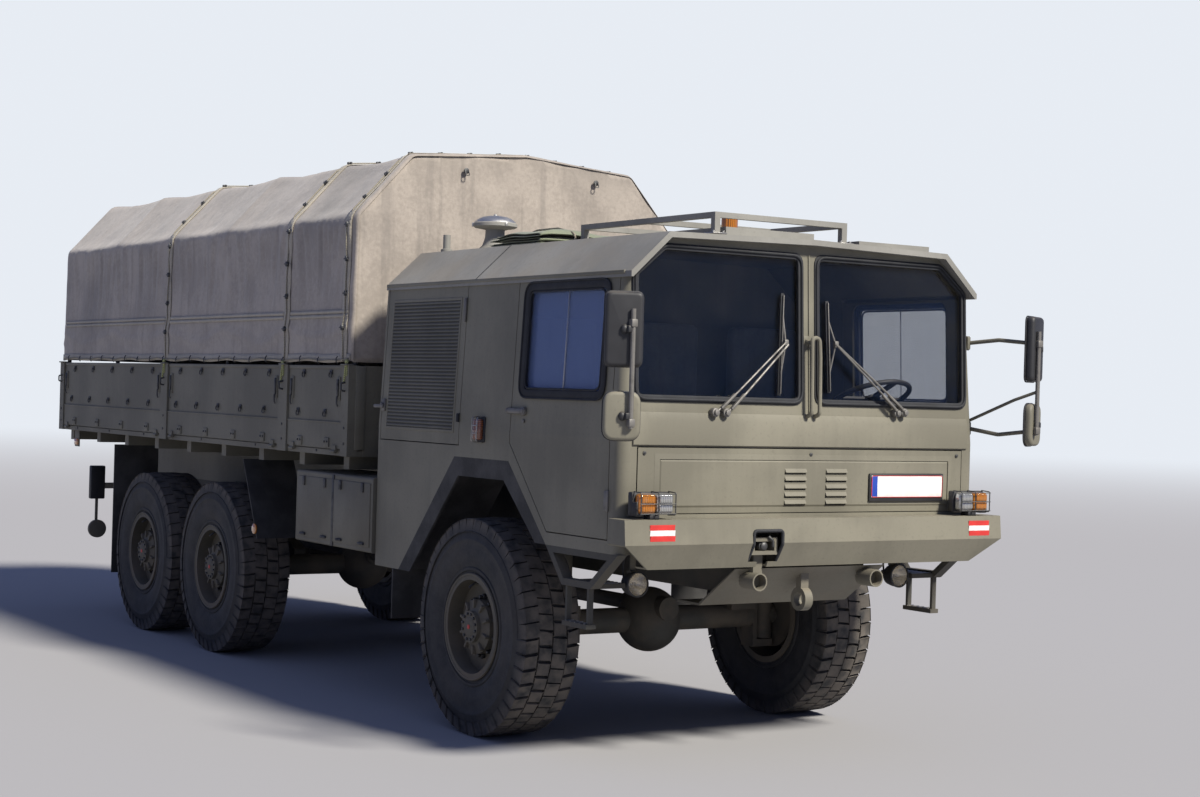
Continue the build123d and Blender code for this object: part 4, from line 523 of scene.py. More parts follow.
def corners(points: Sequence[Point], radius: float, closed: bool = False, steps: int = 5) -> list[Vector]:
    """Rounds the corners of a rigid bar's or frame's path.

    Args:
        points: The path's corner points.
        radius: Bend radius at every corner.
        closed: True if the last point joins the first.
        steps: Straight pieces in each bend.

    Returns:
        The points of the rounded path.
    """
    path = [Vector(point) for point in points]
    count = len(path)
    rounded: list[Vector] = []
    for at, corner in enumerate(path):
        if not closed and at in (0, count - 1):
            rounded.append(corner)
            continue
        back = path[at - 1] - corner
        ahead = path[(at + 1) % count] - corner
        half = back.angle(ahead) / 2
        reach = min(radius / math.tan(half), back.length * 0.49, ahead.length * 0.49)
        start = corner + back.normalized() * reach
        end = corner + ahead.normalized() * reach
        for step in range(steps + 1):
            share = step / steps
            rounded.append(start.lerp(corner, share).lerp(corner.lerp(end, share), share))
    return rounded


def rectangle(low: Point, high: Point) -> Pairs:
    """Corners of a rectangle, in order, from its low and its high corner."""
    return [(low[0], low[1]), (high[0], low[1]), (high[0], high[1]), (low[0], high[1])]


def about(axis: Point) -> Matrix:
    """The rotation that turns local Z to an axis, as a 4x4 matrix."""
    return Vector(axis).to_track_quat("Z", "Y").to_matrix().to_4x4()


class Shaper:
    """A mesh in the making, shaped with bmesh operators in the truck's own axes."""

    def __init__(self, finish: "Finish | None" = None) -> None:
        """Starts with an empty mesh, whose faces get the finish."""
        self.mesh = bmesh.new()
        self.finish = finish

    def bevel(self, verts: Sequence[bmesh.types.BMVert], edge: float, steps: int, angle: float = 0.5) -> None:
        """Bevels the sharp edges of one new shape.

        Args:
            verts: The shape's points.
            edge: Width of the bevel.
            steps: Segments across it.
            angle: Least angle between two faces, in radians, for their edge to be cut.
        """
        sharp = {line for point in verts for line in point.link_edges
                 if len(line.link_faces) == 2 and line.calc_face_angle(0.0) > angle}
        bmesh.ops.bevel(self.mesh, geom=list(sharp), offset=edge, offset_type="OFFSET", segments=steps,
                        profile=0.5, affect="EDGES", clamp_overlap=True, material=-1)

    def _grow(self, faces: list[bmesh.types.BMFace], depth: Point, edge: float, steps: int) -> None:
        """Gives flat faces a thickness and rounds the edges.

        Args:
            faces: The flat faces.
            depth: The vector that the thickness follows.
            edge: Width of the rounded edges.
            steps: Segments across an edge.
        """
        flat = {point for face in faces for point in face.verts}
        grown = bmesh.ops.extrude_face_region(self.mesh, geom=faces)["geom"]
        lifted = [item for item in grown if isinstance(item, bmesh.types.BMVert)]
        bmesh.ops.translate(self.mesh, verts=lifted, vec=depth)
        if edge:
            self.bevel([*flat, *lifted], edge, steps)

    def block(self, centre: Point, size: Point, edge: float = 0.0, turn: "Matrix | None" = None,
              steps: int = 2) -> None:
        """Adds a box.

        Args:
            centre: Its middle.
            size: Its sides along its own axes.
            edge: Width of its rounded edges.
            turn: A rotation about its middle.
            steps: Segments across an edge.
        """
        place = Matrix.Translation(centre) @ (turn or Matrix.Identity(4)) @ Matrix.Diagonal((*size, 1.0))
        made = bmesh.ops.create_cube(self.mesh, size=1.0, matrix=place)["verts"]
        if edge:
            self.bevel(made, edge, steps)

    def drum(self, centre: Point, axis: Point, radius: float, length: float, edge: float = 0.0,
             sides: int = 24) -> None:
        """Adds a cylinder with closed ends.

        Args:
            centre: Its middle.
            axis: Its axis.
            radius: Its radius.
            length: Length along the axis.
            edge: Width of its rounded rims.
            sides: Faces round it.
        """
        place = Matrix.Translation(centre) @ about(axis)
        made = bmesh.ops.create_cone(self.mesh, cap_ends=True, segments=sides, radius1=radius,
                                     radius2=radius, depth=length, matrix=place)["verts"]
        if edge:
            self.bevel(made, edge, 2, 0.9)

    def turned(self, centre: Point, axis: Point, profile: Pairs, steps: int = 48,
               closed: bool = False) -> None:
        """Spins a profile round an axis.

        Args:
            centre: Origin of the profile.
            axis: Axis of the spin.
            profile: Points as (radius, place along the axis).
            steps: Steps round the axis.
            closed: True if the profile's last point joins its first.
        """
        place = Matrix.Translation(centre) @ about(axis)
        verts = [self.mesh.verts.new(place @ Vector((radius, 0.0, along))) for radius, along in profile]
        pairs = list(zip(verts, verts[1:])) + ([(verts[-1], verts[0])] if closed else [])
        lines = [self.mesh.edges.new(pair) for pair in pairs]
        bmesh.ops.spin(self.mesh, geom=verts + lines, cent=centre, axis=axis, dvec=(0, 0, 0),
                       angle=2 * math.pi, steps=steps, use_merge=True, use_duplicate=False)
        bmesh.ops.remove_doubles(self.mesh, verts=self.mesh.verts, dist=1e-5)

    def plate(self, outline: Sequence[Point], depth: Point, edge: float = 0.0, steps: int = 2) -> None:
        """Adds a flat plate.

        Args:
            outline: Its corner points, in order.
            depth: The vector that its thickness follows.
            edge: Width of its rounded edges.
            steps: Segments across an edge.
        """
        face = self.mesh.faces.new([self.mesh.verts.new(point) for point in outline])
        self._grow([face], depth, edge, steps)

    def ring(self, outline: Sequence[Point], width: float, depth: Point, edge: float = 0.0) -> None:
        """Adds a flat frame.

        Args:
            outline: Its outer corner points, in order.
            width: Width of the frame, inwards.
            depth: The vector that its thickness follows.
            edge: Width of its rounded edges.
        """
        face = self.mesh.faces.new([self.mesh.verts.new(point) for point in outline])
        face.normal_update()
        rim = bmesh.ops.inset_region(self.mesh, faces=[face], thickness=width, depth=0.0,
                                     use_even_offset=True,
                                     use_boundary=True)["faces"]
        bmesh.ops.delete(self.mesh, geom=[face], context="FACES_ONLY")
        self._grow(rim, depth, edge, 2)

    def pipe(self, points: Sequence[Point], radius: float, closed: bool = False, resolution: int = 2) -> None:
        """Adds a round bar along a path.

        Args:
            points: The path.
            radius: The bar's radius.
            closed: True if the path is a loop.
            resolution: Blender's bevel resolution; the bar has 4 sides and 2 more for each step.
        """
        path = bpy.data.curves.new("bar", "CURVE")
        path.dimensions = "3D"
        path.bevel_depth = radius
        path.bevel_resolution = resolution
        path.use_fill_caps = not closed
        line = path.splines.new("POLY")
        line.points.add(len(points) - 1)
        for spot, point in zip(line.points, points):
            spot.co = (*point, 1.0)
        line.use_cyclic_u = closed
        holder = link("bar", path)
        bpy.context.view_layer.update()
        swept = bpy.data.meshes.new_from_object(holder.evaluated_get(bpy.context.evaluated_depsgraph_get()))
        self.mesh.from_mesh(swept)
        bpy.data.objects.remove(holder)
        bpy.data.curves.remove(path)
        bpy.data.meshes.remove(swept)

    def ball(self, centre: Point, size: Point, rings: int = 12) -> None:
        """Adds an ellipsoid, by its middle, its half axes and its rings from pole to pole."""
        place = Matrix.Translation(centre) @ Matrix.Diagonal((*size, 1.0))
        bmesh.ops.create_uvsphere(self.mesh, u_segments=2 * rings, v_segments=rings, radius=1.0, matrix=place)

    def cloth(self, along: int, across: int, place: Callable[[float, float], Vector], size: Point) -> None:
        """Adds a sheet from a grid, each point put where a function says.

        Args:
            along: Cells in the first direction.
            across: Cells in the second direction.
            place: Gives the point at two shares from 0 to 1.
            size: Flat size in metres, for the UV map.
        """
        made = bmesh.ops.create_grid(self.mesh, x_segments=along, y_segments=across, size=0.5)["verts"]
        chart = self.mesh.loops.layers.uv.verify()
        shares = {point: (point.co.x + 0.5, point.co.y + 0.5) for point in made}
        for face in {face for point in made for face in point.link_faces}:
            for loop in face.loops:
                first, second = shares[loop.vert]
                loop[chart].uv = (first * size[0], second * size[1])
        for point, (first, second) in shares.items():
            point.co = place(first, second)

    def flip(self) -> None:
        """Turns every face over."""
        bmesh.ops.reverse_faces(self.mesh, faces=self.mesh.faces)

    def turn_out(self) -> None:
        """Turns the faces of closed shapes outwards."""
        bmesh.ops.recalc_face_normals(self.mesh, faces=self.mesh.faces)

    def pour(self, name: str) -> bpy.types.Mesh:
        """Ends the shape as a mesh of this name."""
        data = bpy.data.meshes.new(name)
        self.mesh.to_mesh(data)
        self.mesh.free()
        return data

    def take(self, other: "Shaper") -> None:
        """Moves another shape into this one."""
        step = other.pour("step")
        self.mesh.from_mesh(step)
        bpy.data.meshes.remove(step)


def shapes(*finishes: Finish) -> list[Shaper]:
    """Starts one shape for each finish."""
    return [Shaper(finish) for finish in finishes]


def link(name: str, data: bpy.types.ID) -> bpy.types.Object:
    """Puts data into the scene as an object of this name."""
    made = bpy.data.objects.new(name, data)
    bpy.context.scene.collection.objects.link(made)
    return made


def smooth(data: bpy.types.Mesh, crease: float) -> None:
    """Shades a mesh smooth but for edges sharper than an angle in degrees."""
    data.shade_smooth()
    data.set_sharp_from_angle(angle=math.radians(crease))


def merge(name: str, parts: Sequence[Shaper], crease: float = 35.0, turn_out: bool = True) -> bpy.types.Mesh:
    """Joins shapes into one mesh, each with its finish.

    Args:
        name: The mesh's name.
        parts: The shapes.
        crease: Angle in degrees from which an edge stays sharp.
        turn_out: True to turn the faces of closed shapes outwards.

    Returns:
        The mesh.
    """
    whole = Shaper()
    whole.mesh.loops.layers.uv.verify()
    for index, part in enumerate(parts):
        part.mesh.loops.layers.uv.verify()
        if turn_out:
            part.turn_out()
        for face in part.mesh.faces:
            face.material_index = index
        whole.take(part)
    data = whole.pour(name)
    for part in parts:
        data.materials.append(part.finish.material)
    smooth(data, crease)
    return data


def settle(name: str, slot: Slot, data: bpy.types.Mesh, body: str = ROOT) -> bpy.types.Object:
    """Makes a mesh a finished piece that rides on a body.

    Args:
        name: The piece's name.
        slot: The record's slot for its finish; not used.
        data: Its mesh.
        body: The CAD body that it rides on.

    Returns:
        The piece.
    """
    piece = link(name, data)
    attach(piece, body)
    data.calc_loop_triangles()
    LOG.info("%s on %s: %d triangles", name, body, len(data.loop_triangles))
    return piece


def assemble(name: str, slot: Slot, *parts: Shaper, body: str = ROOT) -> bpy.types.Object:
    """Joins closed shapes into one finished piece that rides on a body."""
    return settle(name, slot, merge(name, parts), body)


def hang(name: str, slot: Slot, part: Shaper, thick: float, offset: float,
         crease: float = 80.0) -> bpy.types.Object:
    """Makes a shape of open cloth one finished piece with a thickness.

    Args:
        name: The piece's name.
        slot: The record's slot for its finish.
        part: The cloth's shape, its faces outwards.
        thick: The cloth's thickness.
        offset: -1 if it grows inwards, 1 if outwards, 0 if both ways.
        crease: Angle in degrees from which an edge stays sharp.

    Returns:
        The piece.
    """
    piece = settle(name, slot, merge(name, [part], crease, turn_out=False))
    wall = piece.modifiers.new("thickness", "SOLIDIFY")
    wall.thickness = thick
    wall.offset = offset
    return piece


def dress(finish: Finish, *nodes: str) -> None:
    """Gives CAD nodes a finish."""
    for node in nodes:
        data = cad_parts[node].data
        data.materials.clear()
        data.materials.append(finish.material)


def cab_x(height: float) -> float:
    """Half width of the cab's outer face at a height."""
    return CAB_HALF - TUMBLE * max(0.0, height - BELT_Z)


def screen_y(height: float) -> float:
    """Place of the cab's front face at a height."""
    return FRONT_Y + SCREEN_LEAN * max(0.0, height - BELT_Z)


def lean_side(side: Side, *parts: Shaper) -> None:
    """Lays shapes on the cab's side wall; their X counts out of the wall and their Y from the cab's front."""
    for part in parts:
        for point in part.mesh.verts:
            point.co.x = side.value * (cab_x(point.co.z) + point.co.x)
            point.co.y += FRONT_Y


def lean_front(*parts: Shaper) -> None:
    """Lays shapes on the cab's leaning front; their Y counts rearwards from the face."""
    for part in parts:
        for point in part.mesh.verts:
            point.co.y = screen_y(point.co.z) + point.co.y


@dataclass
class Studio:
    """Floor, soft light and the photograph's camera."""

    spot: Point = (-6.868, -12.754, 1.976)
    focal_px: float = 2009.57
    frame_px: float = 1200.0
    film: float = 36.0
    yaw: float = 0.57586
    pitch: float = 0.00312
    roll: float = 0.02912
    floor_radius: float = 90.0
    fade: tuple[float, float] = (14.0, 70.0)
    sky: Colour = (0.80, 0.84, 0.90)
    sun_from: Point = (0.22, -0.76, 0.74)
    sun_power: float = 5.9
    sun_width: float = 9.0
    sun_colour: Colour = (1.0, 0.955, 0.86)
    sky_power: float = 0.36
    sky_light: Colour = (0.40, 0.52, 1.0)
    ground: Colour = (0.36, 0.355, 0.36)

    def camera(self) -> None:
        """Puts the camera where the photograph was taken from."""
        lens = bpy.data.cameras.new("photo_camera")
        lens.sensor_fit = "HORIZONTAL"
        lens.sensor_width = self.film
        lens.lens = self.focal_px / self.frame_px * self.film
        lens.clip_end = 400.0
        holder = link("photo_camera", lens)
        ahead = Vector((math.sin(self.yaw) * math.cos(self.pitch), math.cos(self.yaw) * math.cos(self.pitch),
                        -math.sin(self.pitch)))
        level = Vector((math.cos(self.yaw), -math.sin(self.yaw), 0.0))
        upward = level.cross(ahead)
        right = level * math.cos(self.roll) + upward * math.sin(self.roll)
        top = upward * math.cos(self.roll) - level * math.sin(self.roll)
        turn = Matrix((right, top, -ahead)).transposed()
        holder.matrix_world = Matrix.Translation(self.spot) @ turn.to_4x4()
        bpy.context.scene.camera = holder

    def floor(self) -> None:
        """Lays the pale floor, which fades into the sky far away."""
        board = Board("floor")
        reach = board.node("VectorMath", "Value", {0: board.node("TexCoord", "Object")}, operation="LENGTH")
        ground = board.node("BsdfDiffuse", "BSDF", {"Color": (*self.ground, 1.0)})
        haze = board.node("Emission", "Emission", {"Color": (*self.sky, 1.0), "Strength": 1.0})
        both = board.node("MixShader", "Shader", {0: reach.step(*self.fade), 1: ground, 2: haze})
        shape = Shaper()
        bmesh.ops.create_circle(shape.mesh, cap_ends=True, segments=96, radius=self.floor_radius)
        data = shape.pour("floor")
        data.materials.append(board.end(both))
        disc = link("floor", data)

    def light(self) -> None:
        """Sets one broad soft key light and an even sky."""
        sun = bpy.data.lights.new("key", "SUN")
        sun.energy = self.sun_power
        sun.angle = math.radians(self.sun_width)
        sun.color = self.sun_colour
        link("key", sun).matrix_world = about(self.sun_from)
        board = Board("sky", world=True)
        lit = board.node("Background", "Background", {"Color": (*self.sky_light, 1.0),
                                                      "Strength": self.sky_power})
        seen = board.node("Background", "Background", {"Color": (*self.sky, 1.0), "Strength": 1.0})
        ray = board.node("LightPath", "Is Camera Ray")
        bpy.context.scene.world = board.end(board.node("MixShader", "Shader", {0: ray, 1: lit, 2: seen}))
        bpy.context.scene.view_settings.view_transform = "Standard"

    def build(self) -> None:
        """Sets up the whole studio."""
        self.camera()
        self.floor()
        self.light()


@dataclass
class Wheels:
    """Six tyres with block treads, and the bolts and rings on their rims."""

    half: float = 0.1875
    crown: float = 0.620
    groove: float = 0.596
    shoulder: float = 0.12
    rows: int = 44
    block_length: float = 0.070
    nut_circle: float = 0.1675
    nut_count: int = 10
    hub_bolts: int = 12
    hub_ribs: int = 10
    disc_out: float = 0.078
    hub_out: float = 0.1815
    spin_steps: int = 96

    def lug(self, shape: Shaper, angle: float, inner: float, outer: float, skew: float) -> None:
        """Adds one tread block.

        Args:
            shape: The tyre's shape.
            angle: Place round the tyre, in radians.
            inner: The block's inner side, across the tread.
            outer: The block's outer side.
            skew: The block's slant, in radians.
        """
        sign = math.copysign(1.0, outer)
        made = bmesh.ops.create_cube(shape.mesh, size=1.0)["verts"]
        for point in made:
            top = point.co.z > 0
            outside = point.co.x * sign > 0
            across = outer if outside else inner
            worn = 0.004 if abs(across) > self.shoulder else 0.0
            radius = self.crown - worn if top else self.groove - 0.006
            if outside and abs(outer) > self.shoulder:
                across = sign * (self.half - (0.016 if top else 0.004))
                radius = self.crown - 0.008 if top else self.groove - 0.050
            along = point.co.y * self.block_length * (1.0 if top else 1.12)
            along += math.tan(skew) * (across - (inner + outer) / 2)
            turn = angle + along / self.crown
            point.co = Vector((across, -math.sin(turn) * radius, math.cos(turn) * radius))
        shape.bevel(made, 0.005, 1, 0.4)

    def tyre(self) -> bpy.types.Mesh:
        """Shapes one tyre about the X axis.

        Returns:
            The mesh, with its dust values.
        """
        wall = [(0.287, 0.150), (0.299, 0.163), (0.318, 0.166), (0.322, 0.173), (0.336, 0.174),
                (0.342, 0.168),
                (0.372, 0.180), (0.41, 0.1855), (0.45, 0.1875), (0.486, 0.1855), (0.492, 0.1885), (0.502,
                                                                                                   0.1880),
                (0.508, 0.1835), (0.545, 0.178), (0.570, 0.168), (0.586, 0.155), (self.groove, 0.130),
                (self.groove, 0.045)]
        shape = Shaper(Finish.TYRE)
        shape.turned((0, 0, 0), ACROSS, [(radius, -along) for radius, along in wall] + wall[::-1],
                     self.spin_steps, closed=True)
        columns = ((0.006, 0.084, 0.10, 0.0), (-0.084, -0.006, 0.10, 0.5), (0.094, 0.172, -0.12, 0.5),
                   (-0.094, -0.172, -0.12, 0.0))
        for inner, outer, skew, shift in columns:
            for row in range(self.rows):
                self.lug(shape, (row + shift) * 2 * math.pi / self.rows, inner, outer, skew)
        for point in shape.mesh.verts:
            over = self.crown / max(self.crown, math.hypot(point.co.y, point.co.z))
            point.co.y *= over
            point.co.z *= over
        shape.turn_out()
        data = shape.pour("tyre")
        dust = data.attributes.new("dust", "FLOAT", "POINT")
        for point, value in zip(data.vertices, dust.data):
            reach = math.hypot(point.co.y, point.co.z)
            value.value = min(1.0, max(0.12, (reach - 0.600) / 0.014))
        data.materials.append(shape.finish.material)
        smooth(data, 38)
        return data

    @staticmethod
    def circle(count: int, radius: float, shift: float = 0.0) -> list[tuple[float, float, float]]:
        """Even places round the hub, as turn, Y and Z."""
        turns = [2 * math.pi * (row + shift) / count for row in range(count)]
        return [(turn, math.sin(turn) * radius, math.cos(turn) * radius) for turn in turns]

    def fittings(self) -> bpy.types.Mesh:
        """Shapes the nuts, the hub's cap and its bolts, the lock ring and the valve about the X axis.

        Returns:
            The mesh, with its finishes.
        """
        iron, paint, red = shapes(Finish.DARK_STEEL, Finish.WHEEL_PAINT, Finish.RED)
        hub = self.hub_out
        for _, y, z in self.circle(self.nut_count, self.nut_circle):
            iron.drum((self.disc_out + 0.012, y, z), ACROSS, 0.019, 0.024, 0.003, 6)
            iron.drum((self.disc_out + 0.032, y, z), ACROSS, 0.010, 0.022, 0.002, 10)
        for _, y, z in self.circle(self.hub_bolts, 0.074, 0.5):
            iron.drum((hub + 0.003, y, z), ACROSS, 0.0085, 0.012, 0.001, 6)
        for turn, y, z in self.circle(self.hub_ribs, 0.132):
            paint.block((hub - 0.055, y, z), (0.07, 0.016, 0.05), 0.004, Matrix.Rotation(-turn, 4, "X"))
        paint.turned((0, 0, 0), ACROSS, [(0.0, hub + 0.004), (0.05, hub + 0.004), (0.058, hub),
                                         (0.058, hub - 0.01)], 32)
        paint.turned((0, 0, 0), ACROSS, [(0.268, 0.150), (0.282, 0.158), (0.292, 0.178), (0.302, 0.180),
                                         (0.306, 0.172), (0.300, 0.160)], 64)
        red.drum((hub + 0.005, 0, 0), ACROSS, 0.013, 0.006, 0.001, 16)
        iron.pipe([(0.10, 0.0, 0.245), (0.15, 0.0, 0.25), (0.19, 0.0, 0.225)], 0.006)
        return merge("fittings", (iron, paint, red))

    def build(self) -> None:
        """Puts a tyre and fittings on every wheel."""
        tyre, fittings = self.tyre(), self.fittings()
        for end in ("front", "middle", "rear"):
            for side in Side:
                wheel = f"{end}_{side.word}"
                low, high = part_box("tyre_" + wheel)
                turn = Matrix.Rotation(0.0 if side is Side.LEFT else math.pi, 4, "Z")
                for kind, source, slot in (("tread", tyre, Slot.TYRE), ("wheel_bolts", fittings, Slot.FRAME)):
                    data = source.copy()
                    data.transform(Matrix.Translation((low + high) / 2) @ turn)
                    piece = settle(f"{kind}_{wheel}", slot, data, "wheel_" + wheel)
                    if kind == "tread":
                        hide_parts("tyre_" + wheel)
                dress(Finish.WHEEL_PAINT, "rim_" + wheel)
        bpy.data.meshes.remove(tyre)
        bpy.data.meshes.remove(fittings)


@dataclass
class Tarp:
    """Canvas cover over the hoops, its end walls, sewn straps and lashings."""

    half: float = 1.246
    low: float = 2.122
    eave: tuple[float, float] = (1.234, 3.060)
    shoulder: tuple[float, float] = (0.850, 3.480)
    ridge: float = 3.545
    round_edge: float = 0.07
    strap_heights: tuple[float, float] = (2.418, 2.446)
    seams: tuple[float, ...] = (-1.080, -0.180, 2.040)
    hoops: tuple[float, ...] = (-1.145, -0.180, 0.930, 2.040, 3.265, 4.490)
    cell: float = 0.028
    strip_cell: float = 0.03
    thick: float = 0.003
    lace_step: float = 0.11
    hem_step: float = 0.14
    front_eyes: tuple[float, float] = (-0.461, 0.550)
    path: list[Vector] = field(default_factory=list)
    marks: list[float] = field(default_factory=list)

    def __post_init__(self) -> None:
        """Measures the section's path from the right hem over the ridge to the left hem."""
        self.front, self.rear = (value.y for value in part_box("tarp"))
        right = [(-self.half, 0.0, self.low), (-self.eave[0], 0.0, self.eave[1]),
                 (-self.shoulder[0], 0.0, self.shoulder[1]), (0.0, 0.0, self.ridge)]
        left = [(-x, y, z) for x, y, z in reversed(right[:-1])]
        self.path = corners(right + left, self.round_edge)
        self.marks = [0.0]
        for first, second in zip(self.path, self.path[1:]):
            self.marks.append(self.marks[-1] + (second - first).length)

    @property
    def girth(self) -> float:
        """Length of the section from hem to hem."""
        return self.marks[-1]

    def on_section(self, run: float) -> tuple[Vector, Vector]:
        """Point and outward normal on the section.

        Args:
            run: Length along the section from the right hem.

        Returns:
            The point and its normal, in the XZ plane.
        """
        run = min(max(run, 0.0), self.girth)
        at = next(index for index in range(1, len(self.marks)) if self.marks[index] >= run - 1e-9)
        first, second = self.path[at - 1], self.path[at]
        share = (run - self.marks[at - 1]) / (self.marks[at] - self.marks[at - 1])
        line = (second - first).normalized()
        return first.lerp(second, share), Vector((-line.z, 0.0, line.x))

    def slack(self, y: float, run: float, height: float) -> float:
        """How far the cloth stands out of its plain section.

        Args:
            y: Place along the truck.
            run: Length along the section from the right hem.
            height: Height above the ground.

        Returns:
            The distance along the normal, in metres.
        """
        first = max((hoop for hoop in self.hoops if hoop <= y), default=self.front)
        second = min((hoop for hoop in self.hoops if hoop > y), default=self.rear)
        share = (y - first) / max(second - first, 1e-6)
        span = min(1.0, second - first)
        belly = math.sin(math.pi * share)
        hem = min(run, self.girth - run)
        seed = 0.0 if run < self.girth / 2 else 17.0
        fine = noise.noise(Vector((y * 9.0, hem * 7.0, seed))) * 0.0022
        if height > self.eave[1] - 0.03:
            climb = min(1.0, (height - self.eave[1] + 0.03) / 0.1)
            telegraph = sum(math.exp(-((y - hoop) / 0.035) ** 2) for hoop in self.hoops) * 0.006
            waves = noise.noise(Vector((y * 2.3, hem * 2.0, seed + 5.0))) * 0.007
            return climb * (telegraph - 0.017 * belly * span + waves) + fine
        strap = sum(self.strap_heights) / 2
        if height > strap:
            rise = (height - strap) / (self.eave[1] - strap)
            fan = y + (share - 0.5) * 0.34 * (1.0 - rise) * span
            broad = noise.noise(Vector((fan * 3.1, hem * 0.5, seed + 1.0)))
            narrow = noise.noise(Vector((fan * 8.5 + broad * 0.8, hem * 0.35, seed + 2.0)))
            ridge = max(0.0, 1.0 - abs(narrow) * 3.4) ** 2
            held = min(1.0, (self.eave[1] - height) / 0.10 + 0.12) * min(1.0, (height - strap) / 0.10)
            folds = (0.25 + 0.75 * rise) * held * (0.010 * broad + 0.019 * ridge + 0.008 * narrow)
            return folds - 0.016 * belly * span * math.sin(math.pi * rise) + fine
        drop = (strap - height) / (strap - self.low)
        swell = noise.noise(Vector((y * 1.7, 0.3, seed + 3.0))) * 0.5 + 0.5
        crest = max(0.0, 1.0 - abs(drop - 0.25 - 0.55 * belly * swell) * 5.0) ** 2
        pleats = noise.noise(Vector((y * 6.0, hem * 2.0, seed + 4.0)))
        folds = 0.014 * crest + 0.007 * pleats * (1.0 - drop * 0.6) + 0.006 * swell
        return min(1.0, drop / 0.12) * folds * (1.0 - 0.5 * drop) + fine

    def cover_point(self, y: float, run: float, lift: float = 0.0) -> Vector:
        """Point on the draped cover.

        Args:
            y: Place along the truck.
            run: Length along the section from the right hem.
            lift: Extra distance above the cloth.

        Returns:
            The point.
        """
        spot, normal = self.on_section(run)
        ends = max(0.0, 1.0 - min(y - self.front, self.rear - y) / 0.035)
        out = self.slack(y, run, spot.z) * (1.0 - ends) - 0.012 * ends ** 2 + lift
        hem = min(run, self.girth - run)
        drop = 0.006 * math.sin(y * 9.3) * max(0.0, 1.0 - hem / 0.08)
        return Vector((spot.x, y, spot.z + drop)) + normal * out

    def strip(self, shape: Shaper, ys: Point, runs: Point, lift: float, cell: "float | None" = None) -> None:
        """Lays a strip of cloth on the cover's form.

        Args:
            shape: The shape that it is added to.
            ys: The strip's ends along the truck.
            runs: Its ends along the section.
            lift: Height above the cloth.
            cell: Size of its cells, if not a sewn strip's.
        """
        along, across = ys[1] - ys[0], runs[1] - runs[0]
        cell = cell or self.strip_cell
        shape.cloth(max(1, round(along / cell)), max(1, round(across / cell)),
                    lambda first, second: self.cover_point(ys[0] + first * along, runs[0] + second * across,
                                                           lift),
                    (along, across))

    def cover(self) -> None:
        """Drapes the main cover over the hoops."""
        shape = Shaper(Finish.TARP)
        self.strip(shape, (self.front, self.rear), (0.0, self.girth), 0.0, self.cell)
        shape.flip()
        piece = hang("tarp_cover", Slot.CANVAS, shape, self.thick, -1.0)
        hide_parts("tarp")

    def end_wall(self, name: str, y: float, out: float) -> None:
        """Hangs one end wall.

        Args:
            name: The piece's name.
            y: The wall's plane.
            out: -1 for the front wall, 1 for the rear wall.
        """
        shape = Shaper(Finish.TARP)
        mesh = shape.mesh
        inset = 0.012
        mesh.faces.new([mesh.verts.new((spot.x * (1 - inset / self.half), y,
                                        spot.z - (inset if spot.z > self.low + 0.01 else 0.0)))
                        for spot in self.path])
        cuts = [((x * 0.04, 0, 0), ACROSS) for x in range(-30, 31)]
        cuts += [((0, 0, self.low + z * 0.04), UP) for z in range(1, 36)]
        for spot, normal in cuts:
            bmesh.ops.bisect_plane(mesh, geom=mesh.verts[:] + mesh.edges[:] + mesh.faces[:],
                                   plane_co=spot, plane_no=normal)
        height = self.ridge - self.low
        for point in mesh.verts:
            x, z = point.co.x, point.co.z
            rise = (z - self.low) / height
            edge = max(0.0, min(1.0, (self.half - abs(x)) / 0.05, (self.ridge - z) / 0.03))
            waves = noise.noise(Vector((x * 4.2, rise * 1.1, y))) * 0.012
            waves += noise.noise(Vector((x * 11.0, rise * 2.0, y + 3.0))) * 0.004
            belly = 0.012 * math.cos(x / self.half * 1.4) * math.sin(math.pi * min(1.0, rise * 1.1))
            point.co.y += out * edge * (waves + belly) - out * 0.004
        chart = mesh.loops.layers.uv.verify()
        for face in mesh.faces:
            for loop in face.loops:
                loop[chart].uv = (loop.vert.co.x, loop.vert.co.z)
        mesh.normal_update()
        mesh.faces.ensure_lookup_table()
        if mesh.faces[0].normal.y * out < 0:
            shape.flip()
        piece = hang(name, Slot.CANVAS, shape, self.thick, -1.0)

    def straps(self) -> None:
        """Sews the seam flaps, the double strap along each side and the hems."""
        shape = Shaper(Finish.STRAP)
        for seam in self.seams:
            self.strip(shape, (seam - 0.045, seam + 0.045), (0.0, self.girth), 0.0045)
        edges = (self.front + 0.02, *self.seams[1:], self.rear - 0.02)
        for first, second in zip(edges, edges[1:]):
            for height in self.strap_heights:
                for run in (height - self.low, self.girth - height + self.low):
                    self.strip(shape, (first + 0.05, second - 0.05), (run - 0.011, run + 0.011), 0.005)
        for run in (0.0, self.girth - 0.05):
            self.strip(shape, (self.front + 0.02, self.rear - 0.02), (run, run + 0.05), 0.0035)
        shape.flip()
        piece = hang("tarp_straps", Slot.CANVAS, shape, 0.0025, 1.0, 60.0)
        stitch = piece.data.attributes.new("stitch", "FLOAT", "POINT")
        for value in stitch.data:
            value.value = 0.5

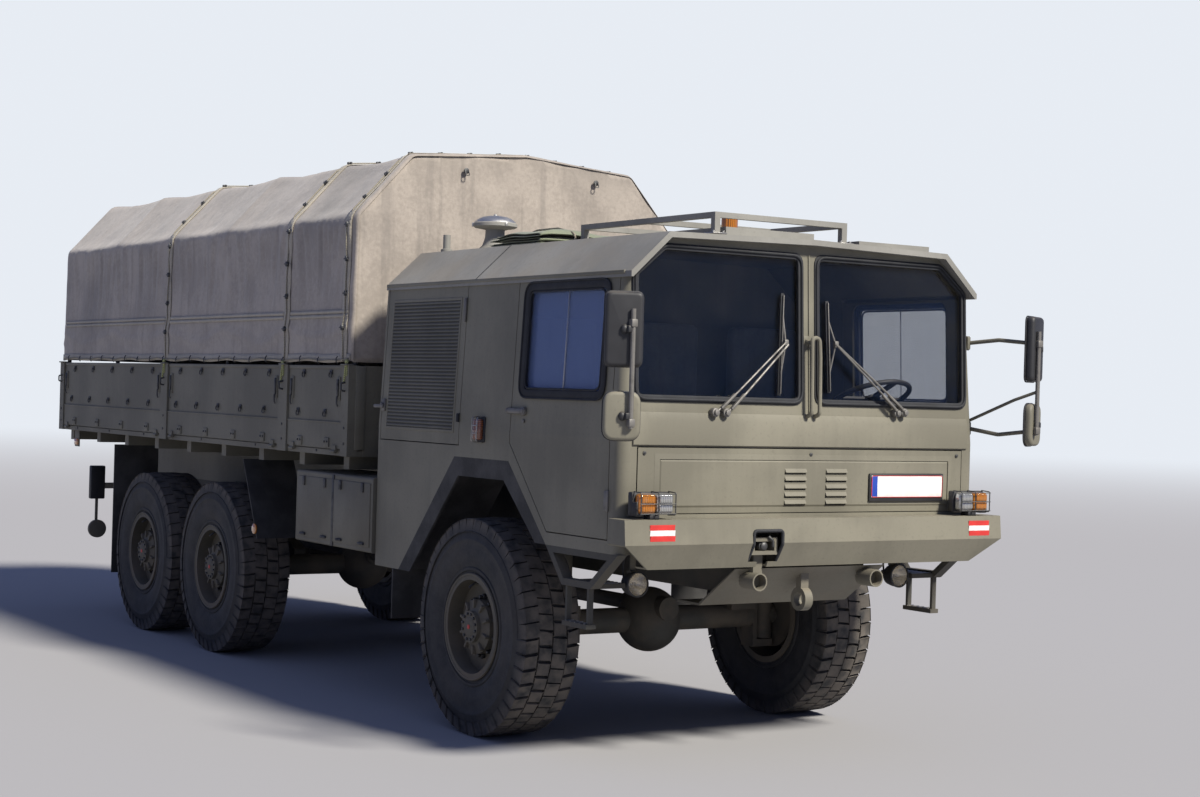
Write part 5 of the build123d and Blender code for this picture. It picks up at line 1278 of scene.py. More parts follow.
    def seam_laces(self, ropes: Shaper, iron: Shaper) -> None:
        """Ties the taut ropes down the seams, with their iron toggles."""
        count = round(self.girth / self.lace_step)
        for seam in self.seams:
            ropes.pipe([self.cover_point(seam + 0.004 * math.sin(at * 1.7), at * self.lace_step, 0.013)
                        for at in range(count + 1)], 0.0048, resolution=1)
            for run in (at * self.lace_step for at in range(2, count, 2)):
                _, normal = self.on_section(run)
                centre = self.cover_point(seam, run, 0.012)
                iron.block(centre, (0.022, 0.034, 0.022), 0.005, about(normal))
                iron.pipe([centre + normal * 0.006 + Vector((0, shift, 0)) for shift in (-0.026, 0.0, 0.026)],
                          0.005,
                          resolution=1)

    def hem_laces(self, ropes: Shaper, ends: Shaper, iron: Shaper) -> None:
        """Ties the rope along each hem, with its tied ends and iron hooks."""
        hem = 0.016
        count = round((self.rear - self.front - 0.06) / self.hem_step)
        for side in Side:
            run = hem if side is Side.RIGHT else self.girth - hem
            line = [self.cover_point(min(self.front + 0.03 + at * self.hem_step, self.rear - 0.03), run,
                                     0.014)
                    + Vector((0, 0, -0.007 * (at % 2))) for at in range(count + 1)]
            ropes.pipe(line, 0.005, resolution=1)
            for spot in line[1:count:2]:
                iron.pipe([spot + Vector((side.value * out, 0, rise)) for out, rise in
                           ((0.004, 0.026), (0.014, 0.012), (0.014, -0.008),
                            (0.002, -0.018))], 0.004, resolution=1)
            for seam in (self.front + 0.03, *self.seams[1:]):
                fall = Vector((side.value * 0.012, 0.012, -1.0)).normalized()
                knot = self.cover_point(seam, run, 0.02) + fall * 0.02
                ends.ball(knot, (0.013, 0.015, 0.018), rings=8)
                for radius, tail in ((0.007, ((0.0, 0.003), (0.05, 0.016), (0.10, 0.022), (0.135, 0.03))),
                                     (0.006, ((0.0, -0.003), (0.045, -0.01), (0.09, -0.006)))):
                    ends.pipe([knot + fall * down + Vector((0, y, 0)) for down, y in tail], radius)

    def lashings(self) -> None:
        """Makes every rope, toggle, hook and loop of the cover."""
        ropes, ends, iron = shapes(Finish.ROPE, Finish.ROPE_END, Finish.DARK_STEEL)
        self.seam_laces(ropes, iron)
        self.hem_laces(ropes, ends, iron)
        for hoop in self.hoops[1:-1]:
            centre = self.cover_point(hoop + 0.1, self.girth / 2, 0.004)
            iron.pipe([centre + Vector((0.0, y, z)) for y, z in
                       ((-0.02, 0.0), (-0.02, 0.014), (0.02, 0.014), (0.02, 0.0))], 0.004, resolution=1)
        for x in self.front_eyes:
            spot = Vector((x, self.front - 0.012, 3.401))
            iron.drum(spot, AHEAD, 0.020, 0.008, 0.002, 16)
            loop = [(-0.012, -0.004, 0.004), (-0.014, -0.02, -0.03), (0.014, -0.02, -0.03),
                    (0.012, -0.004, 0.004)]
            iron.pipe(corners([spot + Vector(shift) for shift in loop], 0.01), 0.0035, resolution=1)
        assemble("tarp_lashings", Slot.CANVAS, ropes, ends, iron)

    def build(self) -> None:
        """Makes the whole canvas cover."""
        self.cover()
        self.end_wall("tarp_front_wall", self.front + 0.006, -1.0)
        self.end_wall("tarp_rear_wall", self.rear - 0.006, 1.0)
        self.straps()
        self.lashings()
        dress(Finish.DARK_STEEL, "tarp_hoops")


@dataclass
class CabFace:
    """Seals, wipers, grab handle and pressed step on the cab's front."""

    low: float = 1.950
    high: float = 2.745
    outer: float = 1.135
    inner: float = 0.052
    chamfer: tuple[float, float] = (0.185, 0.150)
    corner: float = 0.065
    seal_width: float = 0.036
    step_heights: tuple[float, float] = (1.7085, 1.886)
    step_out: float = 0.011
    step_half: float = 1.150

    def pane(self, side: Side, grow: float) -> list[Vector]:
        """Outline of one windscreen opening.

        Args:
            side: Its side of the truck.
            grow: Distance by which the outline is grown.

        Returns:
            Its points, on the face's own plane.
        """
        wide, cut = self.chamfer
        points = [(self.inner - grow, self.low - grow), (self.outer + grow, self.low - grow),
                  (self.outer + grow, self.high + grow * 0.6 - cut),
                  (self.outer + grow * 0.6 - wide, self.high + grow), (self.inner - grow, self.high + grow)]
        return corners([(side.value * x, -0.007, z) for x, z in points], self.corner, True)

    def seals(self) -> None:
        """Rubber seals around both windscreens, with a raised lip."""
        shape = Shaper(Finish.RUBBER)
        for side in Side:
            shape.ring(self.pane(side, 0.014), self.seal_width, (0, 0.022, 0), 0.004)
            shape.pipe([point + Vector((0, -0.004, 0)) for point in self.pane(side, 0.0)], 0.0075, True)
        lean_front(shape)
        assemble("screen_seals", Slot.PLASTIC, shape)

    def wiper(self, iron: Shaper, black: Shaper, pivots: Pairs, tip: Point, blade: Pairs) -> None:
        """Adds one wiper with its two parallel arms.

        Args:
            iron: Shape of the metal pieces.
            black: Shape of the rubber pieces.
            pivots: Places of the two spindles, as (x, z).
            tip: Where the arms meet the blade, as (x, z).
            blade: Both ends of the blade, as (x, z).
        """
        ahead = Vector((0, -0.012, 0))
        for at, (x, z) in enumerate(pivots):
            iron.drum((x, -0.022, z), AHEAD, 0.024, 0.036, 0.004, 20)
            iron.drum((x, -0.044, z), AHEAD, 0.015, 0.018, 0.003, 16)
            spot = Vector((x, -0.040, z))
            end = Vector((tip[0] + (at - 0.5) * 0.018, -0.036, tip[1] - at * 0.01))
            iron.pipe([spot, spot.lerp(end, 0.3) + ahead, end], 0.0065 if at else 0.0055)
            iron.block(spot.lerp(end, 0.16) + ahead / 2, (0.020, 0.014, 0.12), 0.004, about(end - spot))
        first, second = (Vector((x, 0.002, z)) for x, z in blade)
        middle, line = (first + second) / 2, second - first
        iron.block((tip[0], -0.026, tip[1]), (0.026, 0.022, 0.034), 0.004)
        iron.pipe([first.lerp(second, 0.22) + ahead, Vector((tip[0], -0.024, tip[1])),
                   first.lerp(second, 0.78) + ahead], 0.005)
        black.block(middle, (0.010, 0.022, line.length), 0.002, about(line))
        iron.block(middle + ahead, (0.013, 0.006, line.length * 0.96), 0.002, about(line))

    def wipers(self) -> None:
        """Both wipers, parked towards the middle."""
        iron, black = shapes(Finish.GREY_IRON, Finish.RUBBER)
        self.wiper(iron, black, ((-0.648, 1.888), (-0.576, 1.888)), (-0.176, 2.270),
                   ((-0.204, 1.985), (-0.178, 2.536)))
        self.wiper(iron, black, ((0.604, 1.908), (0.657, 1.911)), (0.170, 2.274),
                   ((0.141, 2.007), (0.127, 2.509)))
        lean_front(iron, black)
        assemble("wipers", Slot.PLASTIC, iron, black)

    def handle(self) -> None:
        """Looped grab handle between the windscreens."""
        shape = Shaper(Finish.PAINT)
        right, left = -0.020, 0.034
        loop = [(right, 0.004, 1.872), (right, -0.052, 1.892), (right, -0.058, 2.302), (0.030, -0.058, 2.302),
                (left, -0.058, 2.20), (left, -0.052, 1.892), (left, 0.004, 1.872)]
        shape.pipe(corners(loop, 0.030), 0.0115, resolution=3)
        shape.pipe([(right, -0.056, 2.27), (right, 0.004, 2.288)], 0.0115)
        for x, z in ((right, 1.868), (left, 1.868), (right, 2.290)):
            shape.block((x, -0.002, z), (0.036, 0.010, 0.046), 0.003)
        lean_front(shape)
        assemble("grab_handle", Slot.BODY, shape)

    def pressed_step(self) -> None:
        """Pressed step across the front, above the service panel, and the seam strip between the screens."""
        shape = Shaper(Finish.PAINT)
        (low, high), out = self.step_heights, self.step_out
        profile = [(0.006, low), (-out, low + 0.004), (-out, high - 0.046), (0.004, high)]
        shape.plate([(-self.step_half, FRONT_Y + y, z) for y, z in profile], (2 * self.step_half, 0, 0),
                    0.0025, 1)
        shape.block((0.0, screen_y(2.3) - 0.002, 2.32), (0.006, 0.008, 0.86), 0.001,
                    Matrix.Rotation(-math.atan(SCREEN_LEAN), 4, "X"))
        assemble("front_step", Slot.BODY, shape)

    def build(self) -> None:
        """Makes every piece of the cab's front."""
        self.seals()
        self.wipers()
        self.handle()
        self.pressed_step()
        dress(Finish.GLASS, "windscreens")


@dataclass
class FrontTrim:
    """Blank number plate, screws, striped reflectors and the jaw's edging, on panel and bumper."""

    plate_at: tuple[float, float] = (0.693, 1.500)
    plate_size: tuple[float, float] = (0.520, 0.120)
    field_at: tuple[float, float] = (0.015, 1.516)
    field_size: tuple[float, float] = (1.990, 0.250)
    bevel_width: float = 0.030
    screws: tuple[float, ...] = (-1.075, 0.015, 1.075)
    screw_z: float = 1.672
    slot_columns: tuple[float, float] = (-0.091, 0.192)
    slot_middle: float = 1.488
    slot_pitch: float = 0.042
    slot_width: float = 0.145
    bumper_y: float = field(default_factory=lambda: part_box("front_bumper")[0].y)
    stripes: tuple[tuple[float, float], ...] = ((-1.056, 1.272), (1.116, 1.272))

    def plate(self) -> None:
        """Blank number plate in its black holder, with its blue band and red edge."""
        holder, sheet, band, edge = shapes(Finish.PLASTIC, Finish.WHITE, Finish.BLUE, Finish.RED)
        x, z = self.plate_at
        wide, high = self.plate_size
        face = FRONT_Y - 0.0085
        holder.block((x, face - 0.006, z - 0.006), (wide + 0.024, 0.014, high + 0.036), 0.006)
        sheet.block((x, face - 0.0145, z), (wide, 0.004, high), 0.0015)
        band.block((x - wide / 2 + 0.022, face - 0.0155, z), (0.040, 0.004, high - 0.008), 0.001)
        rim = rectangle((x - wide / 2, z - high / 2), (x + wide / 2, z + high / 2))
        edge.ring(corners([(x, face - 0.0175, z) for x, z in rim], 0.012, True), 0.003, (0, 0.003, 0))
        assemble("number_plate", Slot.PLASTIC, holder, sheet, band, edge)

    def bevel(self, shape: Shaper) -> None:
        """Adds the wide sloping bevel round the panel's raised field to a shape."""
        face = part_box("front_panel")[0].y
        middle_x, middle_z = self.field_at
        rings = []
        for grow, y in ((self.bevel_width, face + 0.0052), (0.0, face - 0.0004), (0.0, face + 0.0052)):
            wide, high = (size / 2 + grow for size in self.field_size)
            rings.append([shape.mesh.verts.new((middle_x + x * wide, y, middle_z + z * high))
                          for x, z in rectangle((-1, -1), (1, 1))])
        for first, second in zip(rings, rings[1:] + rings[:1]):
            for at in range(4):
                after = (at + 1) % 4
                shape.mesh.faces.new((first[at], first[after], second[after], second[at]))

    def panel_details(self) -> None:
        """Screws along the panel's upper edge, the bevel round its field and the bright lips in its slots."""
        iron, lip = shapes(Finish.DARK_STEEL, Finish.PAINT)
        self.bevel(lip)
        for x in self.screws:
            iron.drum((x, FRONT_Y - 0.004, self.screw_z), AHEAD, 0.010, 0.008, 0.002, 16)
            iron.drum((x, FRONT_Y - 0.0085, self.screw_z), AHEAD, 0.0045, 0.004, 0.0, 6)
        profile = ((-0.0078, 0.024), (-0.019, 0.004), (-0.0183, 0.001), (-0.0078, 0.0065))
        for column in self.slot_columns:
            for row in range(-2, 3):
                z = self.slot_middle + row * self.slot_pitch
                lip.plate([(column - self.slot_width / 2, FRONT_Y + out, z + rise) for out, rise in profile],
                          (self.slot_width, 0, 0))
        assemble("panel_screws", Slot.BODY, iron, lip)

    def reflectors(self) -> None:
        """Red, white and red stripes at both ends of the bumper."""
        red, white = shapes(Finish.RED, Finish.WHITE)
        tilt = Matrix.Rotation(math.atan2(0.012, 0.128), 4, "X")
        for x, z in self.stripes:
            base = self.bumper_y + 0.012 * (z - 1.212) / 0.128 - 0.0015
            for shape, shift in ((red, 0.028), (white, 0.0), (red, -0.028)):
                shape.block((x, base + shift * 0.094, z + shift), (0.154, 0.003, 0.028), 0.0006, tilt, 1)
        assemble("bumper_stripes", Slot.BODY, red, white)

    def jaw_edging(self) -> None:
        """Black edging round the bumper's opening for the towing jaw, and the jaw's pin with its wire."""
        black, iron = shapes(Finish.RUBBER, Finish.DARK_STEEL)
        y = self.bumper_y
        half = [(0.060, 1.112), (0.004, 1.205), (0.004, 1.2765)]
        outline = [(-0.475, y + back, z) for back, z in half] + [(-0.285, y + back, z) for back,
                                                                 z in half[::-1]]
        black.pipe(corners(outline, 0.02), 0.009)
        iron.drum((-0.38, y + 0.070, 1.193), AHEAD, 0.030, 0.05, 0.008, 24)
        iron.ball((-0.38, y + 0.044, 1.193), (0.024, 0.014, 0.024))
        iron.pipe([(-0.36, y + 0.03, 1.245), (-0.34, y + 0.02, 1.225), (-0.335, y + 0.02, 1.19)], 0.008)
        assemble("jaw_edging", Slot.BODY, black, iron)

    def build(self) -> None:
        """Makes every piece of the panel and the bumper."""
        self.plate()
        self.panel_details()
        self.reflectors()
        self.jaw_edging()
        dress(Finish.PAINT, "front_panel", "front_bumper")
        dress(Finish.BED_PAINT, "front_underrun")


@dataclass
class DoorTrim:
    """Window seal, sliding-pane bar, handle and hinges of one door."""

    side: Side
    window: tuple[float, float, float, float] = (0.176, 1.038, 1.934, 2.568)
    seal_width: float = 0.046
    lip_inset: float = 0.052
    split: float = 0.612
    handle_at: tuple[float, float] = (1.035, 1.860)
    hinges: tuple[float, float] = (1.420, 2.360)

    def build(self) -> None:
        """Makes the door's pieces and gives the door its finish."""
        body = f"door_{self.side.word}"
        front, rear, low, high = self.window
        seal, bar, iron = shapes(Finish.RUBBER, Finish.ALUMINIUM, Finish.GREY_IRON)
        outline = corners([(0.008, y, z) for y, z in rectangle((front, low), (rear, high))], 0.085, True)
        seal.ring(outline, self.seal_width, (-0.026, 0, 0), 0.005)
        seal.pipe([point + Vector((0.001, 0, 0)) for point in outline], 0.006, True, 1)
        inset = self.lip_inset
        lip = rectangle((front + inset, low + inset), (rear - inset, high - inset))
        seal.pipe(corners([(0.004, y, z) for y, z in lip], 0.05, True), 0.006, True, 1)
        bar.block((-0.014, self.split, (low + high) / 2), (0.006, 0.0045, high - low - 0.09), 0.001)
        y, z = self.handle_at
        iron.block((0.015, y, z), (0.028, 0.166, 0.032), 0.010)
        iron.drum((0.010, y - 0.065, z), ACROSS, 0.024, 0.020, 0.004, 20)
        iron.ball((0.018, y + 0.086, z), (0.015, 0.020, 0.017), rings=8)
        iron.drum((0.006, y - 0.065, z - 0.055), ACROSS, 0.011, 0.010, 0.002, 16)
        for height in self.hinges:
            iron.block((0.004, 0.120, height), (0.010, 0.030, 0.100), 0.002)
            iron.drum((0.004, 0.105, height), UP, 0.008, 0.108, 0.001, 12)
        lean_side(self.side, seal, bar, iron)
        assemble(f"door_trim_{self.side.word}", Slot.PLASTIC, seal, bar, iron, body=body)
        dress(Finish.PAINT, body)
        # The door glass gets the painted sky reflection as its colour.
        dress(Finish.SIDE_GLASS_PAINTED_SKY, f"door_glass_{self.side.word}")


@dataclass
class LouvreTrim:
    """Pressed lips on a dark field of painted shade, edging, hinges and latch of one louvred engine panel."""

    side: Side
    ends: tuple[float, float] = (1.775, 2.615)
    heights: tuple[float, float] = (1.741, 2.476)
    pitch: float = 0.021
    hinge_y: float = 1.703

    def build(self) -> None:
        """Makes the panel's pieces and gives the panel its finish."""
        body = f"louvre_panel_{self.side.word}"
        lips, iron, dark, black = shapes(Finish.PAINT, Finish.GREY_IRON, Finish.UNDER, Finish.RUBBER)
        first, last = self.ends
        low, high = self.heights
        # The dark field behind the lips is painted shade, standing for the shadowed openings between the
        # louvres.
        dark.plate([(0.0008, y, z) for y, z in rectangle((first - 0.006, low - 0.012),
                                                         (last + 0.006, high + 0.014))],
                   (-0.0016, 0, 0))
        profile = ((0.0012, 0.007), (0.0072, -0.001), (0.0066, -0.003), (0.0012, 0.003))
        for row in range(round((high - low) / self.pitch) + 1):
            z = low + row * self.pitch
            lips.plate([(out, first, z + rise) for out, rise in profile], (0, last - first, 0))
        edging = rectangle((first - 0.014, low - 0.026), (last + 0.014, high + 0.030))
        lips.ring([(0.004, y, z) for y, z in edging], 0.016, (-0.008, 0, 0), 0.002)
        for shape, z, length in ((iron, 2.430, 0.140), (black, 1.805, 0.050)):
            shape.drum((0.009, self.hinge_y, z), UP, 0.009, length, 0.002, 12)
            shape.block((0.004, self.hinge_y + 0.013, z), (0.006, 0.030, length * 0.9), 0.002)
        iron.block((0.006, 2.660, 1.860), (0.014, 0.040, 0.075), 0.004)
        iron.block((0.022, 2.700, 1.852), (0.012, 0.120, 0.022), 0.005)
        iron.drum((0.016, 2.660, 1.860), ACROSS, 0.014, 0.026, 0.003, 16)
        lean_side(self.side, lips, iron, dark, black)
        assemble(f"louvre_trim_{self.side.word}", Slot.BODY, lips, iron, dark, black, body=body)
        dress(Finish.PAINT, body)


@dataclass
class CabSides:
    """Side markers, drip rails and panel seams of the cab's sides and roof."""

    marker_at: tuple[float, float] = (1.440, 1.745)
    seam_y: float = 1.605
    eave: float = 2.600
    roof_edge: tuple[float, float] = (0.956, 2.815)
    roof_top: float = 2.832

    def markers(self) -> None:
        """Ribbed lamp behind a wire guard at each side."""
        finishes = (Finish.BROWN, Finish.STEEL, Finish.RUBBER)
        both = shapes(*finishes)
        y, z = self.marker_at
        for side in Side:
            parts = shapes(*finishes)
            lens, wire, base = parts
            lens.block((0.022, y, z), (0.034, 0.082, 0.120), 0.014, steps=3)
            base.block((0.004, y, z), (0.010, 0.104, 0.142), 0.004)
            guard = ((0.0, -0.075), (0.046, -0.068), (0.046, 0.068), (0.0, 0.075))
            for shift in (-0.028, 0.028):
                wire.pipe(corners([(out, y + shift, z + rise) for out, rise in guard], 0.012), 0.0028,
                          resolution=1)
            for shift in (-0.022, 0.022):
                wire.pipe([(0.0475, y - 0.030, z + shift), (0.0475, y + 0.030, z + shift)], 0.0025,
                          resolution=1)
            lean_side(side, *parts)
            for whole, part in zip(both, parts):
                whole.take(part)
        assemble("side_markers", Slot.LAMP, *both)

    def drip_rails(self) -> None:
        """Folded rail along each eave, and the roof's cross seam."""
        rail, dark = shapes(Finish.PAINT, Finish.RUBBER)
        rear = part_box("cab_roof")[1].y
        half = cab_x(self.eave)
        for side in Side:
            rail.block((side.value * (half + 0.013), (FRONT_Y + rear) / 2 + 0.02, self.eave - 0.004),
                       (0.014, rear - FRONT_Y - 0.06, 0.020), 0.004)
        edge, height = self.roof_edge
        line = [(-half - 0.010, self.eave + 0.002), (-edge, height + 0.001), (0.0, self.roof_top + 0.001),
                (edge, height + 0.001), (half + 0.010, self.eave + 0.002)]
        dark.pipe([(x, FRONT_Y + self.seam_y, z) for x, z in line], 0.0045, resolution=1)
        assemble("roof_seams", Slot.BODY, rail, dark)

    def build(self) -> None:
        """Makes the sides' small pieces and gives cab and roof their finish."""
        self.markers()
        self.drip_rails()
        dress(Finish.PAINT, "cab_body")
        dress(Finish.ROOF_PAINT, "cab_roof", "roof_rack")
        dress(Finish.UNDER, "cab_steps", "engine")
        dress(Finish.PLASTIC, "dashboard", "steering_wheel")


def started(finish: Finish) -> Shaper:
    """A dataclass field that holds a new shape with a finish."""
    return field(default_factory=lambda: Shaper(finish))


@dataclass
class LampSet:
    """Round lamps, lamp clusters, beacon and rear lamps, in place of their plain solids."""

    round_at: tuple[float, float, float] = (0.910, -3.995, 0.968)
    round_radius: float = 0.066
    round_depth: float = 0.105
    cluster_at: tuple[float, float, float] = (1.088, -4.3625, 1.420)
    beacon_at: tuple[float, float, float] = (-0.130, -3.660, 2.877)
    rear_at: tuple[float, float] = (0.950, 1.060)
    disc_z: float = 0.655
    black: Shaper = started(Finish.PLASTIC)
    chrome: Shaper = started(Finish.CHROME)
    bulb: Shaper = started(Finish.BULB)
    amber: Shaper = started(Finish.AMBER)
    clear: Shaper = started(Finish.CLEAR)
    red: Shaper = started(Finish.RED_LENS)
    wire: Shaper = started(Finish.DARK_STEEL)
    paint: Shaper = started(Finish.BED_PAINT)
    white: Shaper = started(Finish.WHITE)

    def round_lamp(self, side: Side) -> None:
        """Adds one round lamp on its bracket, at a side."""
        x, y, z = side.value * self.round_at[0], self.round_at[1], self.round_at[2]
        out, radius = self.round_depth, self.round_radius
        shell = ((0.0, -out), (0.55, -out * 0.96), (0.86, -out * 0.72), (0.97, -out * 0.4), (1.0, -0.012),
                 (1.03, -0.006), (1.03, 0.004), (0.93, 0.006), (0.91, 0.0))
        bowl = ((0.0, -0.062), (0.35, -0.052), (0.65, -0.032), (0.91, -0.003))
        glass = ((0.0, 0.010), (0.5, 0.008), (0.92, 0.001), (0.92, -0.003), (0.0, -0.002))
        for part, profile in ((self.black, shell), (self.chrome, bowl), (self.bulb, glass)):
            part.turned((x, y, z), AHEAD, [(radius * share, along) for share, along in profile], 40)
        self.clear.ball((x, y + 0.036, z), (0.010, 0.018, 0.010), rings=8)
        self.paint.block((x, y + out / 2, z + 0.115), (0.036, 0.008, 0.13), 0.002)
        self.paint.block((x, y + out / 2, z + 0.062), (0.052, 0.04, 0.012), 0.003)
        cable = ((0.0, 0.0), (0.03, 0.01), (0.04, 0.08), (0.02, 0.18))
        self.black.pipe([(x, y + out + back, z + rise) for back, rise in cable], 0.006, resolution=1)

    def cluster(self, side: Side) -> None:
        """Adds one cluster at a side: amber outside, clear inside, each ribbed and guarded."""
        x, y, z = side.value * self.cluster_at[0], self.cluster_at[1], self.cluster_at[2]
        self.black.block((x, y + 0.026, z), (0.236, 0.040, 0.116), 0.008)
        self.black.block((x + side.value * 0.090, y + 0.010, z - 0.028), (0.052, 0.074, 0.074), 0.006)
        self.black.block((x, y, z - 0.068), (0.060, 0.060, 0.026), 0.004)
        for shift, lens in ((0.052, self.amber), (-0.056, self.clear)):
            centre = x + side.value * shift
            lens.block((centre, y - 0.018, z), (0.100, 0.056, 0.104), 0.018, steps=4)
            for row in (-0.022, 0.022):
                lens.block((centre, y - 0.0475, z + row), (0.078, 0.008, 0.034), 0.0035)
        guard = ((0.01, 0.060), (-0.058, 0.056), (-0.058, -0.056), (0.01, -0.060))
        for shift in (-0.108, -0.003, 0.104):
            bar = [(x + side.value * shift, y + back, z + rise) for back, rise in guard]
            self.wire.pipe(corners(bar, 0.012), 0.0032, resolution=1)
        for row in (-0.050, 0.0, 0.050):
            self.wire.pipe([(x - 0.109, y - 0.060, z + row), (x + 0.109, y - 0.060, z + row)], 0.0028,
                           resolution=1)

    def beacon(self) -> None:
        """Adds the amber beacon on its dark base."""
        x, y, z = self.beacon_at
        self.black.turned(self.beacon_at, UP, [(0.0, 0.0), (0.055, 0.0), (0.055, 0.016), (0.049, 0.024),
                                               (0.049, 0.034), (0.0, 0.034)], 40)
        self.amber.turned(self.beacon_at, UP, [(0.0, 0.034), (0.046, 0.034), (0.0465, 0.085), (0.044, 0.104),
                                               (0.036, 0.118), (0.018, 0.125), (0.0, 0.126)], 40)
        self.chrome.drum((x, y, z + 0.07), UP, 0.014, 0.05, 0.003, 16)

    def rear_lamp(self, side: Side, plane: float) -> None:
        """Adds one rear lamp, its bracket and the disc below it, at a side and a place along the truck."""
        x, z = side.value * self.rear_at[0], self.rear_at[1]
        self.black.block((x, plane, z), (0.130, 0.060, 0.290), 0.010)
        for shift, lens in ((0.092, self.amber), (0.0, self.red), (-0.092, self.clear)):
            lens.block((x, plane + 0.034, z + shift), (0.106, 0.024, 0.080), 0.008, steps=3)
        self.paint.block((side.value * 0.68, plane, z - 0.03), (0.54, 0.050, 0.050), 0.006)
        self.paint.block((x, plane, self.disc_z + 0.13), (0.024, 0.016, 0.27), 0.003)
        self.paint.drum((x, plane - 0.03, self.disc_z), REARWARD, 0.078, 0.040, 0.004, 40)
        self.white.drum((x, plane - 0.008, self.disc_z), REARWARD, 0.070, 0.006, 0.001, 40)

    def build(self) -> None:
        """Makes every lamp."""
        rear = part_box("lamps")[1].y
        for side in Side:
            self.round_lamp(side)
            self.cluster(side)
            self.rear_lamp(side, rear - 0.030)
        self.beacon()
        piece = assemble("lamp_set", Slot.LAMP, self.black, self.chrome, self.bulb, self.amber, self.clear,
                         self.red, self.wire, self.paint, self.white)
        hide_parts("lamps")


@dataclass
class MirrorSet:
    """Flat and wide-angle mirrors with rounded backs, clamps and bent tubes, in place of plain boxes."""

    stand: float = 1.400
    stand_y: float = -4.600
    tube: float = 1.380
    turn: float = 27.0
    flat_size: tuple[float, float, float] = (0.190, 0.056, 0.370)
    wide_size: tuple[float, float, float] = (0.185, 0.050, 0.240)
    flat_z: float = 2.290
    wide_z: float = 1.862
    arms: tuple[float, float] = (1.830, 2.320)
    black: Shaper = started(Finish.PLASTIC)
    khaki: Shaper = started(Finish.PAINT)
    rim: Shaper = started(Finish.PLASTIC)
    glass: Shaper = started(Finish.MIRROR)
    steel: Shaper = started(Finish.GREY_IRON)
    paint: Shaper = started(Finish.BED_PAINT)

    def head(self, back: Shaper, side: Side, spot: Point, size: Point, round_by: float) -> None:
        """Adds one mirror head, its glass facing the rear.

        Args:
            back: Shape that its back is added to.
            side: Its side.
            spot: Its place along the truck and its height.
            size: Its width, depth and height.
            round_by: Corner radius.
        """
        wide, deep, high = size
        place = Matrix.Translation((side.value * self.stand, *spot))
        place = place @ Matrix.Rotation(math.radians(side.value * self.turn), 4, "Z")
        square = rectangle((-wide / 2, -high / 2), (wide / 2, high / 2))
        outline = corners([(x, 0, z) for x, z in square], round_by, True, 6)
        shell, edge, face = Shaper(), Shaper(), Shaper()
        shell.plate([point + Vector((0, deep * 0.5, 0)) for point in outline], (0, -deep * 0.94, 0),
                    deep * 0.36, 4)
        edge.pipe([point + Vector((0, deep * 0.5 - 0.004, 0)) for point in outline], 0.005, True, 1)
        face.plate([Vector((point.x * 0.93, deep * 0.5 - 0.002, point.z * 0.96)) for point in outline],
                   (0, 0.003, 0))
        for part, whole in ((shell, back), (edge, self.rim), (face, self.glass)):
            bmesh.ops.transform(part.mesh, matrix=place, verts=part.mesh.verts)
            whole.take(part)
        front = place @ Vector((0, -deep * 0.44 - 0.004, 0))
        clamp = Vector((side.value * self.tube, spot[0] - 0.055, spot[1]))
        self.black.ball(front, (0.020, 0.018, 0.024), rings=8)
        self.black.block(front.lerp(clamp, 0.5), (0.030, 0.040, 0.034), 0.006)

    def holder(self, side: Side, front: float) -> None:
        """Adds the upright tube at a place along the truck, its arms and, on the left, the stay."""
        sign, bracket_y = side.value, FRONT_Y + 0.082
        x = sign * self.tube
        self.steel.pipe([(x, front, self.wide_z - 0.06), (x, front, self.flat_z + 0.10)], 0.0125,
                        resolution=3)
        for z, bend in zip(self.arms, (-0.03, 0.02)):
            wall = Vector((sign * (cab_x(z) + 0.022), bracket_y, z))
            end = Vector((x, front, z))
            middle = wall.lerp(end, 0.45) + Vector((0, 0.0, bend))
            self.paint.pipe(corners([wall, middle, end], 0.08), 0.012, resolution=3)
            self.paint.block(wall - Vector((sign * 0.006, 0, 0)), (0.024, 0.050, 0.074), 0.005)
            self.steel.drum(wall, UP, 0.014, 0.082, 0.002, 16)
            self.steel.block(end, (0.036, 0.034, 0.040), 0.006)
            for shift in (-0.022, 0.022):
                self.steel.drum(wall + Vector((sign * 0.008, 0, shift)), ACROSS, 0.007, 0.012, 0.001, 6)
        if side is Side.LEFT:
            stay = [(x, front, 2.05), (x - 0.06, front + 0.12, 2.00), (cab_x(1.83) + 0.02, bracket_y, 1.87)]
            self.paint.pipe(corners(stay, 0.05), 0.009)

    def build(self) -> None:
        """Makes both sides' mirrors."""
        angle = math.radians(self.turn)
        reach = self.stand_y + self.flat_size[0] / 2 * math.sin(angle) + 0.030 * math.cos(angle)
        for side in Side:
            self.head(self.black, side, (reach, self.flat_z), self.flat_size, 0.035)
            self.head(self.khaki, side, (reach, self.wide_z), self.wide_size, 0.060)
            self.holder(side, reach - 0.052)
        piece = assemble("mirror_set", Slot.PLASTIC, self.black, self.khaki, self.rim, self.glass, self.steel,
                         self.paint)
        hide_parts("mirrors")


